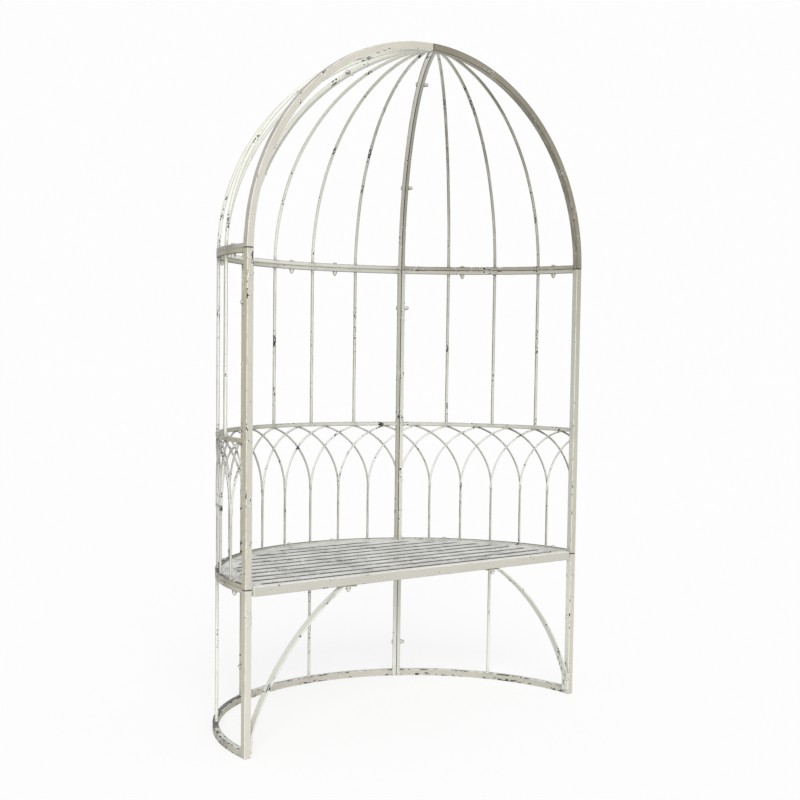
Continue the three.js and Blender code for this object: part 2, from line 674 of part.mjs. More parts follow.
// The whole
const lowSide = cut(lowPanel(SIDE), [...sideDrills(seam.low, seatBolts), legScrewHole()]);
const lowBack = cut(lowPanel(BACK), backDrills(seam.low, seatBolts));
const tallSide = cut(tallPanel(SIDE), sideDrills(seam.tall, [...seatBolts, ...ringBolts]));
const tallBack = cut(tallPanel(BACK), backDrills(seam.tall, [...seatBolts, ...ringBolts]));
const domeSide = cut(domeSidePanel(), sideDrills(seam.dome, ringBolts));
const domeBack = cut(domeBackPanel(), backDrills(seam.dome, ringBolts));

const lowRight = meshOf('low_panel_right', lowSide, paint(CREAM));
const tallRight = meshOf('tall_panel_right', tallSide, paint(CREAM));
const domeRight = meshOf('dome_panel_right', domeSide, paint(SHADED_CREAM));
const braceRight = meshOf('brace_right', braceSolid(), paint(CREAM));

const cage = new THREE.Group();
cage.position.y = LEG_TUBE / 2 - PART_DEPTH / 2;
cage.add(
  lowRight,
  mirrorOf(lowRight, 'low_panel_left'),
  meshOf('low_panel_back', lowBack, paint(CREAM)),
  tallRight,
  mirrorOf(tallRight, 'tall_panel_left'),
  meshOf('tall_panel_back', tallBack, paint(CREAM)),
  domeRight,
  mirrorOf(domeRight, 'dome_panel_left'),
  meshOf('dome_panel_back', domeBack, paint(SHADED_CREAM)),
  meshOf('seat', seatSolid(), paint(SEAT_CREAM)),
  braceRight,
  mirrorOf(braceRight, 'brace_left'),
  ...bothSides([...seam.low, ...seam.tall, ...seam.dome]),
  ...bothSides(seatBolts),
  ...bothSides(ringBolts),
  nut('brace_nut_right', flangePlace),
  nut('brace_nut_left', mirrored({ ...flangePlace, name: 'brace' })),
  footScrew('brace_screw_right', footPlace),
  footScrew('brace_screw_left', mirrored({ ...footPlace, name: 'brace' })),
);

const arbour = new THREE.Group();
arbour.name = 'arbour_seat';
arbour.add(cage);

export default arbour;
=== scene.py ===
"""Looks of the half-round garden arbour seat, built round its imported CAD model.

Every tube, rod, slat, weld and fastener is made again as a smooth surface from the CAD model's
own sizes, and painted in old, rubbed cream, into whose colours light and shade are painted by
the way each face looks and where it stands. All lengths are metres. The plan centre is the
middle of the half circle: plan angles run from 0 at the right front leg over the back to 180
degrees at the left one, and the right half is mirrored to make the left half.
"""

import logging
import math
from collections.abc import Callable
from dataclasses import dataclass, field, replace
from enum import Enum

import bpy
import numpy as np
from mathutils import Matrix


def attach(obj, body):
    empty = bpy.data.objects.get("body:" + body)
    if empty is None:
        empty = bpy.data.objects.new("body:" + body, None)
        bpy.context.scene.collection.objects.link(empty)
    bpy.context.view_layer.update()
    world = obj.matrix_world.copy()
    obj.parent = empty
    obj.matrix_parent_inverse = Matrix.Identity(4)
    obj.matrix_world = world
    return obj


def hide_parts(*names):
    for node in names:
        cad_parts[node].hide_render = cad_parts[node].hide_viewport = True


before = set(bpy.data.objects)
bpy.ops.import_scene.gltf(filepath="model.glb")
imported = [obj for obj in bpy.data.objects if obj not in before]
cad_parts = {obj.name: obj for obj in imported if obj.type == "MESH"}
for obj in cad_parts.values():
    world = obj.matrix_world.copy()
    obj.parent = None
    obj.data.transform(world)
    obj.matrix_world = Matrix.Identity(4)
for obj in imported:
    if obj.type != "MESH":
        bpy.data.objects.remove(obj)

LOG = logging.getLogger("arbour_seat")
Triple = tuple[float, float, float]
Colour = Triple
Length = float | np.ndarray
Socket = bpy.types.NodeSocket
Feed = Socket | float | Colour
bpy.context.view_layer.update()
UP = np.array([0.0, 0.0, 1.0])
BACKWARDS = np.array([0.0, 1.0, 0.0])
MM = 0.001
MIRROR = np.array([-1.0, 1.0, 1.0])  # turns the right half into the left one
STAIN_REACH = 13 * MM  # how far the dirt round a weld goes
RAIL_BEAD = 1.9 * MM  # radius of the bead at a rail's end
FLUSH_BEAD = 0.45 * MM  # radius of that bead where the rail lies flush with the post
ROD_BEAD = 1.5 * MM  # radius of the bead at a rod's end
TUBE_CORNER = 2 * MM  # radius of the corners of the legs, the arch and the apron
TUBE_BEVEL = 1.1 * MM  # bevel at the ends of the legs and the arch
MATED_LINE = 1.6 * MM  # width of the line of painted shade and dirt where another piece lies against a rail
OPEN_LINE = 2.4 * MM  # width of the fainter lines of painted shade and dirt on a rail's other corners
GROOVE_DEPTH = 0.05  # of the fine groove round a leg, as a share of its width
GROOVE_REACH = 0.45 * MM  # how far it goes up and down
GROUND_BAND = (9 * MM, 6 * MM)  # heights above which none and below which all ground chips show
SHARP_ANGLE = math.radians(38)  # from which the edge between two faces stays hard


class Place(Enum):
    """Which of a tier's three panels."""

    RIGHT = "right"
    BACK = "back"
    LEFT = "left"


class Tone(Enum):
    """The painted light and shade of a member, as the paint reads it.

    TAUPE is painted shade, BLUSH a warm painted light on the front faces, PALE painted light, and
    PLAIN none of these.
    """

    TAUPE = -1.0
    PLAIN = 0.0
    BLUSH = 1.0
    PALE = 2.0


# Surfaces


@dataclass(frozen=True)
class Outline:
    """A closed section, counter-clockwise, with what the paint needs to know of it.

    Attributes:
        points: Places across the section, (columns, 2).
        edge: 1 on a corner and 0 in the middle of a flat, (columns,).
        around: Distance round the section, (columns + 1,), the last being the whole way.
    """

    points: np.ndarray
    edge: np.ndarray
    around: np.ndarray


def reached(points: np.ndarray) -> np.ndarray:
    """How far along a line of points each one is: the running sum of the steps between them."""
    return np.concatenate([[0.0], np.cumsum(np.linalg.norm(np.diff(points, axis=0), axis=1))])


def on_circle(turns: np.ndarray) -> np.ndarray:
    """Points of the unit circle: cosine and sine of the turns."""
    return np.stack([np.cos(turns), np.sin(turns)], axis=-1)


def vectors(x: Length, y: Length, z: Length) -> np.ndarray:
    """Vectors from their parts, each of which is one number or one for each vector."""
    return np.stack(np.broadcast_arrays(x, y, z), axis=-1)


def placed(name: str, data: bpy.types.ID) -> bpy.types.Object:
    """A new object in the scene."""
    made = bpy.data.objects.new(name, data)
    bpy.context.scene.collection.objects.link(made)
    return made


def outline_from(points: np.ndarray, edge: np.ndarray) -> Outline:
    """Measures the way round a closed section, from its first point back to it."""
    return Outline(points, edge, reached(np.concatenate([points, points[:1]])))


def square_outline(width: float, depth: float, corner: float = 1.6 * MM) -> Outline:
    """A rectangle with rounded corners and a few points on each flat.

    Each corner is a quarter circle about a centre that stands one corner radius in from both
    sides. The flats' points are shares of the straight line from one corner to the next.

    Args:
        width: Size along the first axis.
        depth: Size along the second axis.
        corner: Radius of the corners.

    Returns:
        The outline.
    """
    signs = np.array([[1, 1], [-1, 1], [-1, -1], [1, -1]], float)
    centres = signs * (np.array([width, depth]) / 2 - corner)
    turns = np.arange(4)[:, None] * np.pi / 2 + np.linspace(0, np.pi / 2, 5)[None, :]
    arcs = centres[:, None, :] + corner * on_circle(turns)
    shares = np.array([0.06, 0.5, 0.94])[None, :, None]
    starts = arcs[:, -1:, :]
    ends = np.roll(arcs[:, :1, :], -1, axis=0)
    flats = starts + (ends - starts) * shares
    points = np.concatenate([arcs, flats], axis=1).reshape(-1, 2)
    edge = np.tile([0.8, 0.95, 1.0, 0.95, 0.8, 0.55, 0.0, 0.55], 4)
    return outline_from(points, edge)


def round_outline(diameter: float, columns: int = 14) -> Outline:
    """A circle of a diameter, as evenly spaced turns on the unit circle times the radius."""
    turns = np.arange(columns) * 2 * np.pi / columns
    return outline_from(diameter / 2 * on_circle(turns), np.full(columns, 0.5))


@dataclass(frozen=True)
class Path:
    """The line that a section is carried along, with the section's two axes at each place.

    The way along is side x up, so that a counter-clockwise section faces outwards.
    """

    places: np.ndarray
    side: np.ndarray
    up: np.ndarray
    along: np.ndarray


def path_through(places: np.ndarray, side: np.ndarray) -> Path:
    """Gives a line its axes: up is the way along crossed with side.

    Args:
        places: Points of the line, (rows, 3).
        side: The section's first axis, one for all rows or one for each.

    Returns:
        The path.
    """
    way = np.gradient(places, axis=0)
    way /= np.linalg.norm(way, axis=1, keepdims=True)
    side = np.broadcast_to(side, places.shape)
    side = side - (side * way).sum(axis=1, keepdims=True) * way
    side /= np.linalg.norm(side, axis=1, keepdims=True)
    return Path(places, side, np.cross(way, side), reached(places))


def stations(length: float, spacing: float, marks: tuple[float, ...] = ()) -> np.ndarray:
    """Evenly spaced distances along a line, with closely spaced ones round each mark.

    Args:
        length: Length of the line.
        spacing: Largest step.
        marks: Distances that need a finer step.

    Returns:
        The distances, rising from 0 to the length.
    """
    even = np.linspace(0, length, max(2, int(np.ceil(length / spacing)) + 1))
    fine = np.add.outer(np.array(marks, float), np.linspace(-1.2, 1.2, 9) * MM).ravel()
    return np.unique(np.concatenate([even, fine[(fine > 0) & (fine < length)]]))


def straight(start: np.ndarray, end: np.ndarray, side: np.ndarray, spacing: float = 12 * MM,
             marks: tuple[float, ...] = ()) -> Path:
    """A straight path: start plus a distance along the way to the end.

    Args:
        start: First point.
        end: Last point.
        side: The section's first axis.
        spacing: Largest step.
        marks: Distances that need a finer step.

    Returns:
        The path.
    """
    length = float(np.linalg.norm(end - start))
    shares = stations(length, spacing, marks)[:, None] / length
    return path_through(start + shares * (end - start), side)


@dataclass(frozen=True)
class GapDirtAndShade:
    """A line of painted shade and dirt along the corners on one side of a section.

    Attributes:
        way: The way to that side, in the section's two axes.
        strength: How dark it is, from 0 to 1.
        width: How far it reaches from the section's furthest point that way.
    """

    way: tuple[float, float]
    strength: float = 1.0
    width: float = 1.4 * MM


@dataclass(frozen=True)
class Surface:
    """A grid of points closed round its columns, with what the paint reads.

    Attributes:
        points: (rows, columns, 3).
        edge: Nearness to a corner, (rows, columns).
        along: Distance along the rows, (rows,), or (rows + 1,) on a ring.
        around: Distance round the columns, (columns + 1,).
        ring: True if the rows close on themselves too, as on a torus.
        tone: The member's painted light and shade.
        weld: 1 on a weld.
        gap_dirt_and_shade: 1 where painted shade and dirt lie in the gap beside the next piece, (rows, columns),
            or None for nowhere.
    """

    points: np.ndarray
    edge: np.ndarray
    along: np.ndarray
    around: np.ndarray
    ring: bool = False
    tone: Tone = Tone.PLAIN
    weld: float = 0.0
    gap_dirt_and_shade: np.ndarray | None = None

    def mirrored(self) -> "Surface":
        """The mirror image in x = 0, its columns turned round so that it still faces outwards."""
        return replace(
            self,
            points=self.points[:, ::-1] * MIRROR,
            edge=self.edge[:, ::-1],
            around=self.around[-1] - self.around[::-1],
            gap_dirt_and_shade=None if self.gap_dirt_and_shade is None else self.gap_dirt_and_shade[:, ::-1],
        )

    def behind(self, depth: float) -> "Surface":
        """Moves what stands in front of an upright plane, at a depth, back onto it."""
        points = self.points.copy()
        points[..., 1] = np.maximum(points[..., 1], depth)
        return replace(self, points=points)

    def with_gap_dirt_and_shade(self, outline: Outline, *lines: GapDirtAndShade,
                ends: tuple[bool, bool] = (False, False)) -> "Surface":
        """Marks the painted shade and dirt in the gaps: the corners on some sides of the section, and the ends'
        bevels.

        A column's share is how near it comes to the section's furthest point on a side, from
        none at the line's width to all at two fifths of it, times the line's strength.

        Args:
            outline: The section.
            *lines: The lines of painted shade and dirt.
            ends: Whether the first and the last end are marked.

        Returns:
            The surface with its painted shade and dirt in the gaps.
        """
        gap_dirt_and_shade = np.zeros(self.points.shape[:2])
        for line in lines:
            reach = outline.points @ np.array(line.way)
            gap_dirt_and_shade += line.strength * np.clip((reach - reach.max() + line.width) / (0.6 * line.width), 0, 1)
        if ends[0]:
            gap_dirt_and_shade[:2] = 1.0
        if ends[1]:
            gap_dirt_and_shade[-2:] = 1.0
        return replace(self, gap_dirt_and_shade=gap_dirt_and_shade)


def carried(outline: Outline, path: Path, tone: Tone = Tone.PLAIN, chamfer: float = 0.7 * MM,
            swell: np.ndarray | None = None) -> Surface:
    """Carries a section along a path and bevels both ends.

    A point is the path's place plus the section's two coordinates along side and up, times the
    swell. The first and last rows are drawn in by the chamfer, and two full rows follow them, so
    that what marks an end stops a millimetre past its bevel.

    Args:
        outline: The section.
        path: The line.
        tone: The member's painted light and shade.
        chamfer: Bevel of the ends.
        swell: Scale of the section at each place, or None for the same all along.

    Returns:
        The surface.
    """
    if swell is None:
        swell = np.ones(len(path.places))
    drawn_in = 1 - 2 * chamfer / np.ptp(outline.points, axis=0).min()
    last = len(path.places) - 1
    rows = np.concatenate([[0, 0], np.arange(last + 1), [last, last]])
    shift = np.zeros(len(rows))
    shift[[1, 2]] = chamfer, chamfer + MM
    shift[[-2, -3]] = -chamfer, -chamfer - MM
    places = path.places[rows] + shift[:, None] * np.cross(path.side, path.up)[rows]
    along = path.along[rows] + shift
    scale = swell[rows].copy()
    scale[[0, -1]] *= drawn_in
    across = outline.points[None, :, :] * scale[:, None, None]
    points = (places[:, None, :] + across[..., :1] * path.side[rows][:, None, :]
              + across[..., 1:] * path.up[rows][:, None, :])
    edge = np.broadcast_to(outline.edge, points.shape[:2]).copy()
    edge[:2] = edge[-2:] = 1.0
    return Surface(points, edge, along, outline.around, tone=tone)


def ripple(distance: np.ndarray, seed: float) -> np.ndarray:
    """Uneven heights of a weld, from -1 to 1: two sines of different pitch, shifted by the seed."""
    return (0.6 * np.sin(distance / (0.5 * MM) + seed * 7.1)
            + 0.4 * np.sin(distance / (0.83 * MM) + seed * 3.7))


def bead(outline: Outline, centre: np.ndarray, side: np.ndarray, normal: np.ndarray, full: float,
         flush: float | None = None, seed: float = 0.0) -> Surface:
    """A weld bead round a section that ends on a face.

    The bead is a torus-like ring. Its middle line is the section's outline in the face, and at
    each place of it a small circle stands in the plane of the outline's outward direction and
    the face's normal. The circle's radius is full where the outline faces up or down, and flush
    where it faces sideways.

    Args:
        outline: Section of the member that ends here.
        centre: Middle of the section in the face.
        side: The section's first axis.
        normal: The face's normal, along the member.
        full: Radius of the bead.
        flush: Radius on the sides that lie flush with the face's own edges, or None.
        seed: Shifts the bead's ripples.

    Returns:
        The surface.
    """
    up = np.cross(normal, side)
    turn = np.roll(outline.points, -1, axis=0) - np.roll(outline.points, 1, axis=0)
    turn /= np.linalg.norm(turn, axis=1, keepdims=True)
    across, rise = turn[:, 1:], -turn[:, :1]
    outward = across * side + rise * up
    middle = centre + outline.points[:, :1] * side + outline.points[:, 1:] * up
    flush = full if flush is None else flush
    radius = flush + (full - flush) * rise[:, 0] ** 2
    radius = radius * (1 + 0.13 * ripple(outline.around[:-1], seed))
    step = np.pi / 4
    turns = np.arange(8) * step
    circle = (np.cos(turns)[None, :, None] * normal + np.sin(turns)[None, :, None] * outward[:, None, :])
    points = middle[:, None, :] + radius[:, None, None] * circle
    around = np.arange(9) * full * step
    return Surface(points, np.full(points.shape[:2], 0.7), outline.around, around, ring=True, weld=1.0)


def lump(centre: np.ndarray, along: np.ndarray, across: np.ndarray, sizes: Triple, seed: float) -> Surface:
    """A spot of weld: an ellipsoid with a wavy skin.

    Its rows are circles whose radius is the sine of the angle from one tip, set along the long
    axis by the cosine, so that tip to tip lies along the first direction.

    Args:
        centre: Middle of the spot.
        along: Direction of the long axis.
        across: Direction of the second axis.
        sizes: Half lengths along the long, second and third axes.
        seed: Shifts the waves.

    Returns:
        The surface.
    """
    along = along / np.linalg.norm(along)
    across = across - (across @ along) * along
    across = across / np.linalg.norm(across)
    third = np.cross(along, across)
    tilt = np.linspace(0.97, 0.03, 7) * np.pi
    step = np.pi / 5
    turns = np.arange(10) * step
    wave = 1 + 0.1 * np.sin(3 * turns[None, :] + 2 * tilt[:, None] + seed * 5.3)
    points = (centre
              + (sizes[0] * np.cos(tilt))[:, None, None] * along
              + (sizes[1] * np.sin(tilt)[:, None] * np.cos(turns) * wave)[..., None] * across
              + (sizes[2] * np.sin(tilt)[:, None] * np.sin(turns) * wave)[..., None] * third)
    lengths = sizes[0] * (1 - np.cos(np.pi - tilt))
    return Surface(points, np.full(points.shape[:2], 0.7), lengths, np.arange(11) * sizes[1] * step, weld=1.0)


def turned(profile: np.ndarray, centre: np.ndarray, axis: np.ndarray, flats: np.ndarray | None = None,
           columns: int = 36) -> Surface:
    """A body of revolution, some of whose rows may be hexagons.

    A point is the centre plus the profile's height along the axis plus its radius in the
    direction of the turn. On a hexagonal row the radius is the flats' half width divided by the
    cosine of the turn from the nearest flat's middle.

    Args:
        profile: Radius and height of each row, with rising heights, (rows, 2).
        centre: Where height is zero.
        axis: Direction of height.
        flats: 1 for each row that is a hexagon and 0 for a circle, or None.
        columns: Points round the axis.

    Returns:
        The surface.
    """
    axis = axis / np.linalg.norm(axis)
    askew = [0.31, 0.17, 0.93]  # a direction that no fastener has
    side = np.cross(axis, askew)
    side /= np.linalg.norm(side)
    up = np.cross(axis, side)
    turns = np.arange(columns) * 2 * np.pi / columns
    from_flat = (turns + np.pi / 6) % (np.pi / 3) - np.pi / 6
    hexagon = math.cos(math.pi / 6) / np.cos(from_flat)
    shape = np.ones((len(profile), columns))
    if flats is not None:
        shape = np.where(flats[:, None] > 0, hexagon, shape)
    radius = profile[:, :1] * shape
    points = (centre + profile[:, 1][:, None, None] * axis
              + (radius * np.cos(turns))[..., None] * side + (radius * np.sin(turns))[..., None] * up)
    around = np.arange(columns + 1) * profile[:, 0].max() * 2 * np.pi / columns
    return Surface(points, np.full(points.shape[:2], 0.6), reached(profile), around)


# Meshes


@dataclass
class Shell:
    """Surfaces that become one mesh object.

    Attributes:
        name: Name of the piece.
        surfaces: The surfaces, in plan coordinates.
        welds: Places of the joints, for the stain round them.
    """

    name: str
    surfaces: list[Surface] = field(default_factory=list)
    welds: list[np.ndarray] = field(default_factory=list)

    def add(self, *surfaces: Surface) -> "Shell":
        """Takes more surfaces."""
        self.surfaces.extend(surfaces)
        return self

    def near_welds(self, places: np.ndarray) -> np.ndarray:
        """How close each place is to a weld, as a bell: e to the power of minus the distance squared.

        The distance is that to the nearest weld, in parts of the stain's reach.

        Args:
            places: The places, in plan coordinates, (places, 3).

        Returns:
            From 0 far away to 1 at a weld.
        """
        if not self.welds:
            return np.zeros(len(places))
        marks = np.array(self.welds)
        blocks = np.array_split(places, 1 + len(places) // 4000)  # so that the table of distances stays small
        squares = [((block[:, None, :] - marks) ** 2).sum(axis=2).min(axis=1) for block in blocks]
        return np.exp(-np.concatenate(squares) / STAIN_REACH ** 2)

    def build(self, plan_centre: np.ndarray) -> bpy.types.Object:
        """Joins the surfaces' grids into one mesh.

        Each cell of a grid is a quadrilateral of its four neighbouring points, and each open end
        is closed by one flat face. The paint's values are stored as attributes, and the way
        along and round each member as a UV map in metres.

        Args:
            plan_centre: Where the plan centre is in the model.

        Returns:
            The object, linked to the scene.
        """
        corners, totals, unwrap, first = [], [], [], 0
        for s in self.surfaces:
            rows, columns = s.points.shape[:2]
            row = np.arange(rows if s.ring else rows - 1)
            r, c = np.meshgrid(row, np.arange(columns), indexing="ij")
            quads = [(r, c), (r, c + 1), (r + 1, c + 1), (r + 1, c)]
            cells = [first + (a % rows) * columns + b % columns for a, b in quads]
            flat = [np.stack([s.along[a], s.around[b]], axis=2) for a, b in quads]
            corners.append(np.stack(cells, axis=2).ravel())
            unwrap.append(np.stack(flat, axis=2).reshape(-1, 2))
            totals.append(np.full(r.size, 4))
            if not s.ring:
                for end, order in ((0, slice(None, None, -1)), (rows - 1, slice(None))):
                    corners.append((first + end * columns + np.arange(columns))[order])
                    unwrap.append(np.stack([np.full(columns, s.along[end]), s.around[:-1][order]], axis=1))
                    totals.append(np.array([columns]))
            first += rows * columns
        places = np.concatenate([s.points.reshape(-1, 3) for s in self.surfaces])
        places[:, 2] = np.maximum(places[:, 2], 0.0)
        total = np.concatenate(totals)
        mesh = bpy.data.meshes.new(self.name)
        mesh.vertices.add(len(places))
        mesh.vertices.foreach_set("co", (places + plan_centre).astype(np.float32).ravel())
        mesh.loops.add(int(total.sum()))
        mesh.loops.foreach_set("vertex_index", np.concatenate(corners).astype(np.int32))
        mesh.polygons.add(len(total))
        mesh.polygons.foreach_set("loop_start", (np.cumsum(total) - total).astype(np.int32))
        mesh.polygons.foreach_set("loop_total", total.astype(np.int32))
        mesh.polygons.foreach_set("use_smooth", np.ones(len(total), bool))
        mesh.update(calc_edges=True)
        mesh.uv_layers.new(name="lie").data.foreach_set("uv", np.concatenate(unwrap).astype(np.float32).ravel())
        # The painted shade and dirt in the gaps, of each surface.
        grooves = [np.zeros(s.edge.size) if s.gap_dirt_and_shade is None else s.gap_dirt_and_shade.ravel() for s in self.surfaces]
        values = {
            "edge": np.concatenate([s.edge.ravel() for s in self.surfaces]),
            "gap_dirt_and_shade": np.concatenate(grooves),
            "weld": np.maximum(self.near_welds(places), self.each(lambda s: s.weld)),
            "tone": self.each(lambda s: s.tone.value),
        }
        for name, value in values.items():
            mesh.attributes.new(name, "FLOAT", "POINT").data.foreach_set("value", value.astype(np.float32))
        mesh.set_sharp_from_angle(angle=SHARP_ANGLE)
        return placed(self.name, mesh)

    def each(self, value: Callable[[Surface], float]) -> np.ndarray:
        """One value of each surface, repeated for all of its points."""
        return np.concatenate([np.full(s.edge.size, float(value(s))) for s in self.surfaces])


# Finishes


class Wiring:
    """Short words for a node tree."""

    def __init__(self, owner: bpy.types.Material | bpy.types.World) -> None:
        """Starts an empty node tree.

        Args:
            owner: The material or world that gets it.
        """
        owner.use_nodes = True
        self.owner = owner
        self.tree = owner.node_tree
        self.tree.nodes.clear()

    def node(self, kind: str, inputs: dict | None = None, **settings) -> bpy.types.Node:
        """Adds a node, sets it and feeds its inputs with sockets or plain values.

        Args:
            kind: The node's type without its ShaderNode prefix.
            inputs: What each input takes, by name or number.
            **settings: Properties of the node.

        Returns:
            The node.
        """
        made = self.tree.nodes.new("ShaderNode" + kind)
        for key, value in settings.items():
            setattr(made, key, value)
        for key, value in (inputs or {}).items():
            if isinstance(value, Socket):
                self.tree.links.new(value, made.inputs[key])
            else:
                made.inputs[key].default_value = value
        return made

    def number(self, operation: str, a: Feed, b: Feed = 0.0, clamp: bool = False) -> Socket:
        """One step of arithmetic on two values."""
        return self.node("Math", {0: a, 1: b}, operation=operation, use_clamp=clamp).outputs[0]

    def times(self, a: Feed, b: Feed) -> Socket:
        """The product of two values."""
        return self.number("MULTIPLY", a, b)

    def plus(self, a: Feed, b: Feed) -> Socket:
        """The sum of two values."""
        return self.number("ADD", a, b)

    def minus(self, a: Feed, b: Feed) -> Socket:
        """The first value less the second."""
        return self.number("SUBTRACT", a, b)

    def most(self, a: Feed, b: Feed) -> Socket:
        """The greater of two values."""
        return self.number("MAXIMUM", a, b)

    def noise(self, vector: Socket, scale: float, detail: float = 2.0, roughness: float = 0.5) -> Socket:
        """Cloudy noise from about 0 to 1, with scale in cycles a metre."""
        inputs = {"Vector": vector, "Scale": scale, "Detail": detail, "Roughness": roughness}
        return self.node("TexNoise", inputs).outputs["Fac"]

    def between(self, value: Feed, low: float, high: float) -> Socket:
        """0 up to low and 1 from high on, with a smooth rise, or the reverse if high is the lower."""
        inputs = {"Value": value, "From Min": low, "From Max": high}
        return self.node("MapRange", inputs, interpolation_type="SMOOTHSTEP").outputs["Result"]

    def mix(self, share: Feed, a: Feed, b: Feed) -> Socket:
        """A blend of two colours."""
        colours = {key: (*value, 1.0) if isinstance(value, tuple) else value for key, value in ((6, a), (7, b))}
        return self.node("Mix", {0: share, **colours}, data_type="RGBA").outputs[2]

    def stretched(self, vector: Socket, factors: Triple) -> Socket:
        """A vector times a factor for each axis."""
        return self.node("VectorMath", {0: vector, 1: factors}, operation="MULTIPLY").outputs[0]

    def along(self, vector: Socket, way: Triple) -> Socket:
        """How far a vector goes along a direction."""
        unit = tuple(part / math.hypot(*way) for part in way)
        return self.node("VectorMath", {0: vector, 1: unit}, operation="DOT_PRODUCT").outputs["Value"]

    def value_of(self, attribute: str) -> Socket:
        """A mesh attribute."""
        return self.node("Attribute", attribute_name=attribute).outputs["Fac"]


class Coats(Wiring):
    """The node tree of an old paint, whose layers each lie over the last.

    It reads from a piece: place, x, y and z say where a point is, normal which way it faces, and
    lie how far along and round the member it is. Edge, weld, tone and gap_dirt_and_shade are the
    mesh's own values; tone gives the member's painted light and shade, and gap_dirt_and_shade the
    painted shade and dirt beside the next piece. Ahead says how squarely it faces the front, level
    whether it faces up, and ridge is 1 along the corners. Colour is the paint so far, and
    painted_shade how much painted shade it has.
    """

    def __init__(self, name: str, bottom: Colour, ridge_from: float) -> None:
        """Adds the nodes that read the piece.

        Args:
            name: Name of the material.
            bottom: The lowest layer.
            ridge_from: How near a corner the ridge starts.
        """
        super().__init__(bpy.data.materials.new(name))
        where = self.node("TexCoord").outputs
        self.place, self.normal = where["Object"], where["Normal"]
        self.x, self.y, self.z = self.node("SeparateXYZ", {0: self.place}).outputs
        self.lie = self.node("UVMap", uv_map="lie").outputs[0]
        self.edge, self.weld, self.tone, self.gap_dirt_and_shade = map(self.value_of, ("edge", "weld", "tone", "gap_dirt_and_shade"))
        self.ahead = self.along(self.normal, (0.0, -1.0, 0.0))
        self.level = self.facing((0.0, 0.0, 1.0), 0.45, 0.9)
        self.ridge = self.between(self.edge, ridge_from, ridge_from + 0.2)
        self.colour: Feed = bottom
        self.painted_shade: Feed = 0.0

    def lay(self, share: Feed, tone: Feed, amount: float = 1.0) -> None:
        """Lays a tone over the colour so far, as strong as its share times the amount."""
        self.colour = self.mix(self.times(share, amount), self.colour, tone)

    def facing(self, way: Triple, low: float, high: float) -> Socket:
        """1 on faces that look a way, and 0 on those that look less that way than the lower limit."""
        return self.between(self.along(self.normal, way), low, high)

    def streaks(self, grain: tuple[float, float], detail: float = 3.0, roughness: float = 0.5) -> Socket:
        """Noise whose grain, in cycles a metre, differs along and across the member."""
        return self.noise(self.stretched(self.lie, (*grain, 1.0)), 1.0, detail, roughness)


@dataclass(frozen=True)
class Patch:
    """A round place in the model where a top face is worn the most."""

    x: float
    y: float
    radius: float


